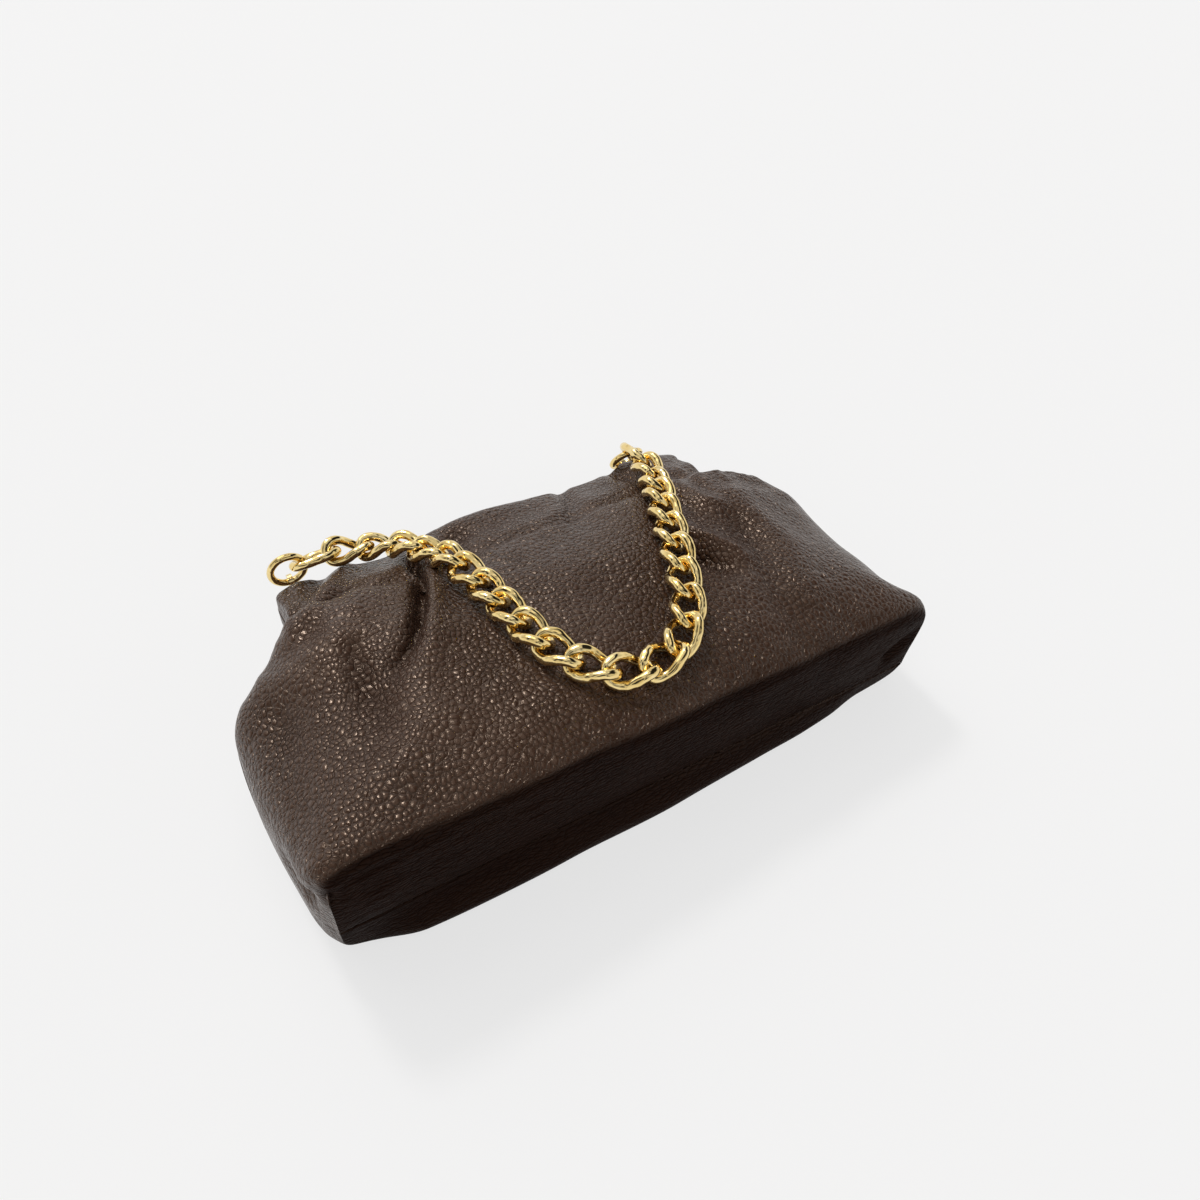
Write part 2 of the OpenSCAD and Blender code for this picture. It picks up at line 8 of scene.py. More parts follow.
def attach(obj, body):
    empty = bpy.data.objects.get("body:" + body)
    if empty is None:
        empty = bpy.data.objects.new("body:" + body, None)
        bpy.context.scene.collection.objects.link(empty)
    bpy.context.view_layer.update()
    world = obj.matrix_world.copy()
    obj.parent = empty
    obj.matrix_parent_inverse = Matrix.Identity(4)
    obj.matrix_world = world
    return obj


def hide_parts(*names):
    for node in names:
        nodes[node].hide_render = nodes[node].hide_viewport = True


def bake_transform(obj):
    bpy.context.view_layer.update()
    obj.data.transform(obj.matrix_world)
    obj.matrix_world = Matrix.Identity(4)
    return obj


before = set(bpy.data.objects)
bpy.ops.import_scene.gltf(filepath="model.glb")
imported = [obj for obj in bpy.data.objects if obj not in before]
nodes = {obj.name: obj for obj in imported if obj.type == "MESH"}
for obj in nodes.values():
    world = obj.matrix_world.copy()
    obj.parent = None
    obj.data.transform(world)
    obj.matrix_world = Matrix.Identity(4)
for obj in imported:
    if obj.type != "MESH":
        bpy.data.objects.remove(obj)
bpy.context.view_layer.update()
mm = 0.001

# Tools for shaders and meshes

class Wire:  # a shader socket that takes sums
    def __init__(self, tree, socket):
        self.tree = tree
        self.socket = socket

    def sum(self, operation, first, second=0.0, clamp=False):
        node = self.tree.nodes.new("ShaderNodeMath")
        node.operation = operation
        node.use_clamp = clamp
        for place, value in ((0, first), (1, second)):
            if isinstance(value, Wire):
                self.tree.links.new(value.socket, node.inputs[place])
            else:
                node.inputs[place].default_value = value
        return Wire(self.tree, node.outputs[0])

    def __add__(self, other): return self.sum("ADD", self, other)
    def __radd__(self, other): return self.sum("ADD", other, self)
    def __sub__(self, other): return self.sum("SUBTRACT", self, other)
    def __rsub__(self, other): return self.sum("SUBTRACT", other, self)
    def __mul__(self, other): return self.sum("MULTIPLY", self, other)
    def __rmul__(self, other): return self.sum("MULTIPLY", other, self)
    def atLeast(self, other): return self.sum("MAXIMUM", self, other)
    def clipped(self): return self.sum("ADD", self, 0.0, clamp=True)


class Finish:  # a material, or the world, and its nodes
    def __init__(self, name, kind=bpy.data.materials):
        self.owner = kind.new(name)
        self.owner.use_nodes = True
        self.tree = self.owner.node_tree
        self.tree.nodes.clear()

    def add(self, kind, settings=None, out=0, **values):
        node = self.tree.nodes.new("ShaderNode" + kind)
        for key, value in (settings or {}).items():
            if key == "stops":
                ramp = node.color_ramp
                while len(ramp.elements) < len(value):
                    ramp.elements.new(0.5)
                for element, (place, colour) in zip(ramp.elements, value):
                    element.position = place
                    element.color = (*colour, 1.0)
            else:
                setattr(node, key, value)
        for key, value in values.items():
            self.feed(node, key, value)
        self.last = node
        return Wire(self.tree, node.outputs[out]) if len(node.outputs) else None

    def feed(self, node, key, value):
        numbered = key[0] == "i" and key[1:].isdigit()
        socket = node.inputs[int(key[1:]) if numbered else key.replace("_", " ")]
        if isinstance(value, Wire):
            self.tree.links.new(value.socket, socket)
        elif isinstance(value, tuple) and len(value) == 3 and socket.type == "RGBA":
            socket.default_value = (*value, 1.0)
        else:
            socket.default_value = value

    def place(self):
        return self.add("TexCoord", out=3)

    def scaled(self, vector, scale, turn=(0.0, 0.0, 0.0)):
        return self.add("Mapping", Vector=vector, Scale=scale, Rotation=turn)

    def noise(self, vector, scale, detail=2.0, rough=0.5, out=0):
        return self.add("TexNoise", out=out, Vector=vector, Scale=scale, Detail=detail, Roughness=rough)

    def cells(self, vector, scale, feature="F1", random=1.0, out=0):
        return self.add("TexVoronoi", {"feature": feature}, out=out, Vector=vector, Scale=scale, Randomness=random)

    def spread(self, value, low, high, start=0.0, end=1.0, kind="SMOOTHSTEP"):
        return self.add("MapRange", {"interpolation_type": kind}, Value=value, i1=low, i2=high, i3=start, i4=end)

    def ramp(self, value, stops):
        return self.add("ValToRGB", {"stops": stops}, Fac=value)

    def blend(self, share, first, second, mode="MIX"):
        return self.add("Mix", {"data_type": "RGBA", "blend_type": mode}, out=2, i0=share, i6=first, i7=second)

    def nudged(self, vector, push, amount):  # moves a vector by a noise's colour
        centred = self.add("VectorMath", {"operation": "SUBTRACT"}, i0=push, i1=(0.5, 0.5, 0.5))
        scaled = self.add("VectorMath", {"operation": "SCALE"}, i0=centred, Scale=amount)
        return self.add("VectorMath", {"operation": "ADD"}, i0=vector, i1=scaled)

    def bump(self, height, distance, strength=1.0, normal=None):
        node = self.add("Bump", Height=height, Distance=distance, Strength=strength)
        if normal is not None:
            self.feed(self.last, "Normal", normal)
        return node

    def close(self, **values):
        shader = self.add("BsdfPrincipled", **values)
        self.add("OutputMaterial", Surface=shader)
        return self.owner


def makeMesh(name, points, faces, material, smooth=True, values=None):
    mesh = bpy.data.meshes.new(name)
    mesh.from_pydata([tuple(p) for p in np.asarray(points, float) * mm], [], [tuple(int(i) for i in f) for f in faces])
    mesh.update()
    for key, column in (values or {}).items():
        layer = mesh.attributes.new(key, "FLOAT", "POINT")
        layer.data.foreach_set("value", np.asarray(column, np.float32))
    thing = bpy.data.objects.new(name, mesh)
    bpy.context.scene.collection.objects.link(thing)
    mesh.materials.append(material)
    mesh.polygons.foreach_set("use_smooth", [smooth] * len(mesh.polygons))
    return thing


def gridFaces(rows, columns, start=0, flip=False):
    i, j = np.meshgrid(np.arange(rows - 1), np.arange(columns - 1), indexing="ij")
    a = start + i * columns + j
    quads = np.stack([a, a + 1, a + columns + 1, a + columns], -1).reshape(-1, 4)
    return quads[:, ::-1] if flip else quads


def sheetWithWall(grid, wall, flip=False):  # a grid of points made into leather of some thickness
    rows, columns = grid.shape[:2]
    outward = gridNormals(grid)
    wall = wall * ((0.2 + 0.8 * softStep(sideGap(grid), 0, 14)) * (0.1 + 0.9 * calmCorners(grid)))[..., None]
    inner = grid + outward * (wall if flip else -wall)
    points = np.concatenate([grid.reshape(-1, 3), inner.reshape(-1, 3)])
    edge = np.concatenate([
        np.arange(columns), np.arange(1, rows) * columns + columns - 1,
        (rows - 1) * columns + np.arange(columns - 2, -1, -1), np.arange(rows - 2, 0, -1) * columns])
    after = np.roll(edge, -1)
    size = rows * columns
    rim = np.stack([after, edge, edge + size, after + size], -1)
    if not flip:
        rim = rim[:, ::-1]
    faces = np.concatenate([gridFaces(rows, columns, 0, not flip), gridFaces(rows, columns, size, flip), rim])
    return points, faces


def softStep(value, low, high):
    t = np.clip((value - low) / (high - low), 0, 1)
    return t * t * (3 - 2 * t)


def softened(values, times):
    for _ in range(times):
        padded = np.pad(values, 1, mode="edge")
        values = sum(padded[a:a + values.shape[0], b:b + values.shape[1]] for a in (0, 1, 2) for b in (0, 1, 2)) / 9
    return values


def sideGap(grid):  # columns from the nearer side of the sheet
    place = np.arange(grid.shape[1])
    return np.broadcast_to(np.minimum(place, place[-1] - place)[None, :], grid.shape[:2]).astype(float)


def gridNormals(grid):
    along0 = np.gradient(grid, axis=0)
    along1 = np.gradient(grid, axis=1)
    normal = np.cross(along0, along1)
    normal /= np.maximum(np.linalg.norm(normal, axis=-1, keepdims=True), 1e-9)
    soft = np.stack([softened(normal[..., k], 8) for k in range(3)], -1)
    normal = normal + (soft - normal) * (1 - softStep(sideGap(grid), 4, 14))[..., None]
    return normal / np.maximum(np.linalg.norm(normal, axis=-1, keepdims=True), 1e-9)


def noiseField(points, scale, seed):  # smooth value noise, points in mm and scale in mm
    table = np.random.RandomState(seed).rand(32, 32, 32)
    p = points / scale
    k = np.floor(p).astype(int)
    f = p - k
    f = f * f * (3 - 2 * f)
    total = np.zeros(p.shape[:-1])
    for dx in (0, 1):
        for dy in (0, 1):
            for dz in (0, 1):
                share = (np.abs(1 - dx - f[..., 0]) * np.abs(1 - dy - f[..., 1]) * np.abs(1 - dz - f[..., 2]))
                total += share * table[(k[..., 0] + dx) % 32, (k[..., 1] + dy) % 32, (k[..., 2] + dz) % 32]
    return total * 2 - 1


def along(table, place):  # value through rows of (place, value) on a smooth curve
    p = np.array([row[0] for row in table], float)
    v = np.array([row[1] for row in table], float)
    last = len(p) - 1
    a = np.maximum(np.arange(last + 1) - 1, 0)
    b = np.minimum(np.arange(last + 1) + 1, last)
    slope = (v[b] - v[a]) / (p[b] - p[a])
    u = np.asarray(place, float)
    k = np.clip(np.searchsorted(p, u, "right") - 1, 0, last - 1)
    h = p[k + 1] - p[k]
    t = np.clip((u - p[k]) / h, 0, 1)
    return ((2 * t**3 - 3 * t * t + 1) * v[k] + (t**3 - 2 * t * t + t) * h * slope[k]
            + (3 * t * t - 2 * t**3) * v[k + 1] + (t**3 - t * t) * h * slope[k + 1])


# The bag's form, in mm

bag = {
    "baseWidth": 300, "depth": 172, "baseLeft": 75, "baseRight": 57, "belly": 73, "mouthWidth": 230,
    "mouthHeight": 32, "leg": 29, "roll": 19, "rollGap": 0.6, "rollStart": 12, "splitTurn": 18, "sideGap": 1.0,
    "lip": 4.5, "lipRise": 3, "tipRadius": 9.0, "leather": 2.2, "wallShare": 0.9, "seamGap": 0.15, "bulge": 1.5,
    "turnIn": 0.9, "heldRows": (5, 8), "foldShadeSpan": 9.0, "seamShares": (0.38, 0.27),
    "leftWidths": [(0, 1), (0.05, 1.035), (0.12, 1.05), (0.34, 1.07), (0.6, 1.06), (0.8, 1)],
    "rightWidths": [(0, 1), (0.1, 1.035), (0.34, 1.045), (0.6, 1.05), (0.8, 1.05)],
    "leftMouth": [(0, 0), (0.5, 0), (0.62, 0.08), (0.71, 0.45), (0.79, 0.96), (0.8, 1), (1, 1)],
    "rightMouth": [(0, 0), (0.54, 0), (0.64, 0.09), (0.72, 0.36), (0.79, 0.96), (0.8, 1), (1, 1)],
    "baseWeight": [(0, 1), (0.06, 0.5), (0.14, 0.1), (0.22, 0), (1, 0)],
    "rimWeight": [(0, 0), (0.33, 0), (0.45, 0.08), (0.55, 0.17), (0.66, 0.36), (0.75, 0.66), (0.8, 1), (1, 1)],
    "tilt": [(0, 1), (0.1, 0.6), (0.25, 0.1), (0.4, 0), (1, 0)],
    "frontSquare": [(0, 12), (0.1, 6), (0.3, 3.2), (0.6, 2.9), (0.74, 5), (0.8, 14), (1, 14)],
    "backSquare": [(0, 6), (0.2, 4), (0.5, 4), (0.7, 10), (0.8, 30), (1, 30)],
    "rise": [(0, 0), (0.58, 0), (0.66, 0.12), (0.73, 0.5), (0.8, 1), (1, 1)],
}
baseHalf = bag["baseWidth"] / 2
lipY = bag["depth"] / 2
baseY = -lipY
hingeY = lipY - bag["leg"]
mouthZ = bag["mouthHeight"]
rollOut = bag["roll"] + bag["rollGap"]
splitY = hingeY - rollOut * math.sin(math.radians(bag["splitTurn"]))
splitShare = (splitY - baseY) / bag["depth"]
rimZ = mouthZ + rollOut * math.cos(math.radians(bag["splitTurn"])) + bag["leather"]
mouthHalf = bag["mouthWidth"] / 2 + bag["sideGap"] + bag["leather"]
lipCentre = (lipY - bag["lip"], mouthZ + bag["lipRise"])
lipTurn = (math.atan2(lipCentre[1] - mouthZ, lipCentre[0] - hingeY)
           + math.acos((bag["roll"] - bag["lip"]) / math.hypot(lipCentre[0] - hingeY, lipCentre[1] - mouthZ)))


def halfWidth(share, side):
    draw = along(bag["leftMouth" if side < 0 else "rightMouth"], share)
    body = baseHalf * along(bag["leftWidths" if side < 0 else "rightWidths"], np.minimum(share, splitShare))
    return body * (1 - draw) + mouthHalf * draw


def baseHeight(x):
    return (bag["baseLeft"] + bag["baseRight"]) / 2 + (bag["baseRight"] - bag["baseLeft"]) / 2 * x / baseHalf


def seamHeight(x, share):
    u = np.clip((1 + x / baseHalf) / 2, 0, 1)
    atBase = baseHeight(x) * (bag["seamShares"][0] * (1 - u) + bag["seamShares"][1] * u)
    t = np.minimum(1, share / splitShare)
    return atBase * (1 - t) + mouthZ * t


def frontHeight(x, share):
    mean = (bag["baseLeft"] + bag["baseRight"]) / 2
    b = along(bag["baseWeight"], share)
    r = along(bag["rimWeight"], share)
    return mean * b + rimZ * r + bag["belly"] * (1 - b - r) + (baseHeight(x) - mean) * along(bag["tilt"], share)


def arch(e, power):
    return np.maximum(0, 1 - np.abs(e) ** power) ** (1 / power)


def evenly(curve, count):  # a curve's points, spaced evenly along it
    run = np.concatenate([[0], np.cumsum(np.linalg.norm(np.diff(curve, axis=0), axis=1))])
    at = np.linspace(0, run[-1], count)
    return np.stack([np.interp(at, run, curve[:, i]) for i in range(3)], -1)


fine = np.sin(np.linspace(-math.pi / 2, math.pi / 2, 3001))
fine = np.sign(fine) * (1 - (1 - np.abs(fine)) ** 1.6)  # places across a section, close together at its ends


def sectionFront(share, count, top=None, y=None):  # left to right over the front, at one share of the depth
    left, right = halfWidth(share, -1), halfWidth(share, 1)
    x = np.where(fine < 0, fine * left, fine * right)
    z = seamHeight(x, share) + bag["seamGap"]
    high = frontHeight(x, share) if top is None else np.full_like(x, top)
    power = along(bag["frontSquare"], share)
    yy = baseY + share * bag["depth"] if y is None else y
    curve = np.stack([x, np.full_like(x, yy), z + (high - z) * arch(fine, power)], -1)
    return evenly(curve, count)


def backBottom(share):
    return along(bag["rise"], share) * (2 * mouthZ - rimZ)


def sectionBack(share, count, low=None, y=None):
    left, right = halfWidth(share, -1), halfWidth(share, 1)
    x = np.where(fine < 0, fine * left, fine * right)
    z = seamHeight(x, share) - bag["seamGap"]
    bottom = backBottom(share) if low is None else low
    yy = baseY + share * bag["depth"] if y is None else y
    power = along(bag["backSquare"], share)
    curve = np.stack([x, np.full_like(x, yy), z - (z - bottom) * arch(fine, power)], -1)
    return evenly(curve, count)


def baseRows(outline, seam, after, radius, count, roundCount):
    # from the base seam over the flat of the base, round the fold, up to the first row of the panel
    away = seam - outline
    reach = np.linalg.norm(away, axis=-1, keepdims=True)
    inset = outline + away / np.maximum(reach, 1e-6) * np.minimum(radius, reach * 0.8)
    rows = [seam + (inset - seam) * t for t in np.linspace(0, 1, count)]
    for t in np.linspace(0, 1, roundCount + 2)[1:]:
        rows.append(inset * (1 - t) ** 2 + outline * 2 * t * (1 - t) + after * t * t)
    return rows


def pathPlaces(points, path):  # distance of each point to a path, and how far along it is
    path = np.asarray(path, float)
    best = np.full(points.shape[:-1], 1e9)
    place = np.zeros(points.shape[:-1])
    side = np.zeros(points.shape[:-1])
    for k in range(len(path) - 1):
        a, d = path[k], path[k + 1] - path[k]
        t = np.clip(((points - a) @ d) / (d @ d), 0, 1)
        off = points - (a + t[..., None] * d)
        gap = np.linalg.norm(off, axis=-1)
        near = gap < best
        best = np.where(near, gap, best)
        place = np.where(near, (k + t) / (len(path) - 1), place)
        side = np.where(near, np.sign(d[0] * off[..., 1] - d[1] * off[..., 0]), side)
    return best, place, side


def folded(points, folds, boost=1.0):  # sum of ridges and valleys
    # each is a path, the widths and heights along it, and maybe its lean and how sharp it is
    total = np.zeros(points.shape[:-1])
    for path, widths, heights, *more in folds:
        lean, sharp = more or (0.0, 2.0)
        gap, place, side = pathPlaces(points, path)
        width = np.interp(place, np.linspace(0, 1, len(widths)), widths)
        height = np.interp(place, np.linspace(0, 1, len(heights)), heights) * boost
        width = width * np.where(height < 0, 0.8, 0.95)
        total += height * np.exp(-(gap / (width * (1 + lean * side))) ** sharp)
    return total


# Materials

def leather(name, tone):  # pebbled hide: domes parted by creases, drawn out along the base
    make = Finish(name)
    where = make.place()
    push = make.noise(where, 90.0, 2.0, out=1)
    bent = make.nudged(where, push, 0.004)
    onBase = make.add("Attribute", {"attribute_name": "base"}, out=2)
    fold = make.add("Attribute", {"attribute_name": "fold"}, out=2)
    size = tone["pebbles"]
    plain = make.scaled(bent, (1.0, 0.85, 1.0))
    drawn = make.scaled(bent, (0.55, 1.0, 1.7))

    def domed(vector):
        crease = make.spread(make.cells(vector, size, "DISTANCE_TO_EDGE", 0.85), 0.0, 0.17)
        far = make.cells(vector, size, "F1", 0.85)
        return crease * 0.42 + (1 - far * far * 1.9).atLeast(0.0) * 0.58

    domes = domed(plain) * (1 - onBase) + domed(drawn) * onBase
    little = make.spread(make.cells(bent, size * 2.3, "DISTANCE_TO_EDGE", 0.95), 0.0, 0.4)
    smooth = make.spread(make.noise(where, 16.0, 3.0), 0.35, 0.62)
    pores = make.noise(where, 2400.0, 1.0)
    height = domes * (0.55 + smooth * 0.45) + little * 0.05 + pores * 0.006
    wide = make.noise(where, 22.0, 4.0, 0.6)
    # the colour is painted darker in the creases between pebbles and in the valleys of the folds, and lighter on dome
    # tops and ridges: painted shade and painted light, mixed with a random tone
    shade = (wide * 0.45 + domes * 0.3 + fold * 0.35).clipped()
    colour = make.ramp(shade, [(0.15, tone["dark"]), (0.55, tone["middle"]), (0.95, tone["light"])])
    rough = tone["rough"] + wide * 0.1 - domes * 0.06
    normal = make.bump(height, tone["depth"], 1.0)
    soft = make.bump(make.noise(where, 320.0, 3.0, 0.6), 0.0003, 0.3, normal)
    lit = make.add("BsdfPrincipled", Base_Color=colour, Roughness=rough, Normal=soft, Specular_IOR_Level=tone["shine"],
                   Specular_Tint=(1.0, 0.76, 0.59, 1.0))
    # painted shade: the flat of the base gets its colour multiplied much darker and almost no sheen, since it faces
    # away from the lamps
    baseShadeColour = make.blend(1.0, colour, (0.25, 0.18, 0.13), "MULTIPLY")
    shadedBase = make.add("BsdfPrincipled", Base_Color=baseShadeColour, Roughness=rough + 0.2, Normal=soft, Specular_IOR_Level=0.015)
    make.add("OutputMaterial", Surface=make.add("MixShader", i0=onBase, i1=lit, i2=shadedBase))
    return make.owner


leatherTones = {
    "front": {"dark": (0.019, 0.0078, 0.0042), "middle": (0.043, 0.0205, 0.0125), "light": (0.07, 0.037, 0.0245),
              "pebbles": 400.0, "depth": 0.00085, "shine": 0.5, "rough": 0.24},
    # the back's copy of the same hide is painted darker and less shiny: painted shade for the sheet that lies
    # underneath, against the floor
    "back": {"dark": (0.017, 0.0072, 0.004), "middle": (0.038, 0.0182, 0.0112), "light": (0.06, 0.032, 0.0215),
             "pebbles": 400.0, "depth": 0.0008, "shine": 0.36, "rough": 0.28},
    "facing": {"dark": (0.014, 0.009, 0.007), "middle": (0.028, 0.018, 0.014), "light": (0.045, 0.03, 0.024),
               "pebbles": 900.0, "depth": 0.0002, "shine": 0.4, "rough": 0.45},
}
frontLeather = leather("frontPebbledLeather", leatherTones["front"])
backLeather = leather("shadedBackPebbledLeather", leatherTones["back"])
facingLeather = leather("facingCalf", leatherTones["facing"])


def twill(name):  # cotton lining woven on the slant
    make = Finish(name)
    where = make.place()
    turned = make.scaled(where, (1.0, 1.0, 1.0), (0.0, 0.0, math.radians(38)))
    ribs = make.add("TexWave", {"wave_type": "BANDS", "bands_direction": "X", "wave_profile": "SIN"},
                    Vector=turned, Scale=330.0, Distortion=0.6, Detail=1.0, i4=1.5)
    picks = make.add("TexWave", {"wave_type": "BANDS", "bands_direction": "Y", "wave_profile": "SIN"},
                     Vector=turned, Scale=520.0, Distortion=0.4)
    slub = make.noise(make.scaled(where, (1.0, 0.12, 1.0)), 420.0, 2.0)
    height = ribs * 0.7 + picks * 0.3
    shade = (height * 0.5 + slub * 0.5).clipped()
    colour = make.ramp(shade, [(0.1, (0.07, 0.048, 0.033)), (0.6, (0.16, 0.112, 0.08)), (1.0, (0.24, 0.18, 0.13))])
    normal = make.bump(height, 0.00022, 0.8)
    return make.close(Base_Color=colour, Roughness=0.86 - shade * 0.1, Normal=normal,
                      Sheen_Weight=0.25, Sheen_Roughness=0.5)


def gold(name, tone):  # polished pale gold, slightly hammered
    make = Finish(name)
    where = make.place()
    dents = make.noise(where, tone["dents"], 1.0, 0.4)
    facets = make.cells(where, tone["facets"], "SMOOTH_F1")
    wear = make.noise(where, 900.0, 3.0, 0.65)
    # the colour is painted deeper in the hollows of the dents and paler on their tops, painted shade and painted
    # highlight, mixed with a random tone of wear
    colour = make.ramp((dents * 0.6 + wear * 0.4).clipped(),
                       [(0.25, tone["deep"]), (0.55, tone["middle"]), (0.85, tone["pale"])])
    rough = make.spread(wear, 0.35, 0.75, tone["polish"], tone["polish"] + 0.1)
    dented = make.bump(dents + facets * 0.5, tone["depth"], 0.6)
    normal = make.bump(wear, 0.00002, 0.3, dented)
    return make.close(Base_Color=colour, Metallic=1.0, Roughness=rough, Normal=normal)


goldTones = {
    "chain": {"deep": (0.80, 0.56, 0.19), "middle": (0.91, 0.71, 0.33), "pale": (0.98, 0.86, 0.54),
              "dents": 170.0, "facets": 230.0, "depth": 0.0015, "polish": 0.06},
    "tab": {"deep": (0.74, 0.54, 0.24), "middle": (0.86, 0.69, 0.38), "pale": (0.95, 0.83, 0.56),
            "dents": 160.0, "facets": 200.0, "depth": 0.0002, "polish": 0.14},
}
chainGold = gold("chainGold", goldTones["chain"])
tabGold = gold("tabGold", goldTones["tab"])


def brushed(name, pale, direction, polish):  # drawn steel strip, or plated magnets
    make = Finish(name)
    where = make.place()
    lines = make.noise(make.scaled(where, direction), 900.0, 3.0, 0.7)
    stains = make.noise(where, 45.0, 3.0)
    colour = make.ramp((lines * 0.5 + stains * 0.5).clipped(),
                       [(0.2, tuple(c * 0.7 for c in pale)), (0.6, pale),
                        (0.95, tuple(min(1.0, c * 1.2) for c in pale))])
    rough = make.spread(lines, 0.3, 0.7, polish, polish + 0.18)
    return make.close(Base_Color=colour, Metallic=1.0, Roughness=rough, Normal=make.bump(lines, 0.00005, 0.5))


frameSteel = brushed("frameSteel", (0.5, 0.51, 0.52), (0.03, 1.0, 1.0), 0.3)
magnetNickel = brushed("magnetNickel", (0.68, 0.67, 0.65), (1.0, 1.0, 1.0), 0.16)


def board(name):  # grey board with pressed fibres
    make = Finish(name)
    where = make.place()
    fibres = make.noise(make.scaled(where, (1.0, 0.2, 1.0)), 700.0, 4.0, 0.7)
    blotches = make.noise(where, 60.0, 2.0)
    shade = (fibres * 0.6 + blotches * 0.4).clipped()
    colour = make.ramp(shade, [(0.2, (0.17, 0.14, 0.105)), (0.55, (0.3, 0.26, 0.2)), (0.9, (0.4, 0.35, 0.28))])
    return make.close(Base_Color=colour, Roughness=0.9 - shade * 0.1, Normal=make.bump(fibres, 0.0001, 0.7))


boardGrey = board("boardGrey")
liningTwill = twill("liningTwill")
print("materials made")

for material, names in (
        (facingLeather, ("front_facing", "back_facing")),
        (frameSteel, ("front_frame", "back_frame", "hinge_pin_left", "hinge_pin_right")),
        (magnetNickel, ("front_magnets", "back_magnets")),
        (boardGrey, ("base_board", "front_lip_board", "back_lip_board")),
        (tabGold, ("chain_tab_left", "chain_tab_right", "tab_rivets")),
        (chainGold, ("end_ring_left", "end_ring_right"))):
    for name in names:
        thing = nodes[name]
        for slot in thing.material_slots:
            slot.material = material


# The front: one sheet from the base seam over the fold, the belly and the roll to the lip

frontSheet = {
    "columns": 300, "baseRows": 30, "roundRows": 8, "panelRows": 120, "rollRows": 40, "lipRows": 14,
    "foldRadius": 7.0, "foldBoost": 1.65, "deepest": 9.0, "middle": 40.0,
    "gathers": 1.7, "baseSwell": 0.8, "pinch": 0.7, "pinchWidth": 2.6,
    "waves": [(34.0, 1.3, 13), (13.0, 0.45, 14)],  # size, height and seed
    "folds": [
        ([(-80, 84, 39), (-94, 64, 50), (-111, 44, 57), (-126, 34, 54)], [5, 7, 8, 8], [1.5, 3, 3, 1]),
        ([(-92, 86, 37), (-106, 62, 46), (-121, 44, 48)], [5, 6, 6], [-1.5, -2.2, -1.5]),
        ([(-75, 56, 51), (-93, 35, 61), (-109, 19, 63), (-122, -4, 63)], [9, 14, 18, 18], [1.5, 3.2, 2.4, 0.8]),
        ([(-52, 66, 48), (-58, 40, 61), (-67, 19, 67), (-77, 3, 68), (-90, -8, 68)],
         [3.5, 4.5, 5, 6, 8], [-4.5, -8, -7.5, -5, -1.6], 0.25, 1.5),
        ([(-40, 74, 45), (-49, 47, 56), (-61, 19, 67), (-71, 0, 69), (-84, -19, 70), (-90, -41, 72)],
         [6, 6, 6.5, 8, 12, 15], [2, 3.6, 3.6, 3, 2.2, 1]),
        ([(-26, 70, 47), (-33, 44, 60), (-46, 14, 69)], [8, 10, 14], [-1.6, -2.4, -1]),
        ([(44, 86, 39), (38, 62, 49), (31, 50, 56), (22, 18, 68)], [5, 7, 10, 14], [-1.8, -2.2, -1.6, -0.5]),
        ([(85, 84, 39), (90, 57, 51), (92, 22, 64), (106, 3, 64)], [4, 5, 5, 6], [1, 1.6, 1.5, 0.6]),
        ([(76, 84, 39), (80, 57, 51), (80, 30, 63), (84, 8, 67)], [4, 5, 7, 8], [-1, -2, -2, -0.8]),
        ([(71, 2, 68), (76, -9, 70), (84, -20, 70), (92, -30, 69)], [4, 5, 6, 8], [2.4, 3.4, 2.2, 0.5]),
        ([(62, 2, 70), (66, -14, 71), (74, -30, 71)], [4, 4.5, 7], [-2, -4.2, -1.2]),
        ([(111, 20, 61), (111, -21, 65), (99, -50, 70)], [10, 13, 14], [1.8, 1.6, 0.8]),
        ([(101, 4, 65), (93, -28, 70), (84, -56, 71), (80, -80, 65)],
         [9, 11, 12, 10], [-1.6, -1.8, -1.8, -0.8]),
        ([(118, 74, 40), (124, 40, 50), (140, 10, 50)], [6, 8, 9], [-2, -2.6, -1]),
        ([(-101, 12, 66), (-104, -12, 67), (-104, -34, 70)], [6, 8, 9], [-1.6, -2.2, -0.6]),
        ([(-84, -43, 72), (-110, -53, 72), (-136, -61, 71)], [13, 14, 14], [1.2, 1.6, 0.8]),
        ([(-140, 2, 58), (-146, -28, 64), (-150, -58, 68)], [10, 10, 9], [-1.4, -2, -1]),
        ([(-153, -60, 44), (-153, -76, 46), (-151, -86, 58)], [8, 8, 5], [-4, -6, -4]),
        ([(153, -66, 46), (150, -80, 40), (136, -87, 30)], [7, 7, 6], [-2, -3, -2]),
        ([(15, -12, 73), (35, -45, 72), (30, -78, 67)], [16, 18, 14], [-0.8, -1.2, -0.5]),
    ],
    "pushes": [
        {"at": (-8, 84, 40), "reach": 14, "spread": (2.6, 1, 1), "by": (0, 2.0, 6.5)},
        {"at": (-58, 86, 38), "reach": 16, "by": (0, -1.5, -2.6)},
        {"at": (98, 84, 40), "reach": 15, "spread": (1.4, 1, 1), "by": (0, 1.0, 4.2)},
        {"at": (-106, 84, 38), "reach": 14, "by": (-1.0, 0.5, 4.2)},
        {"at": (0, 52, 54), "reach": 11, "spread": (8, 1, 1), "by": (0, 0, 3.4)},
        {"at": (-151, -86, 74), "reach": 10, "by": (-1.6, -1.0, 0.6)},
        {"at": (150, -62, 52), "reach": 12, "by": (-1.5, 0, -2.0)},
    ],
}
corners = [{"at": (154, -84, 46), "reach": 20, "by": (7.0, 0.5, 2.5)}]  # moves both sheets alike


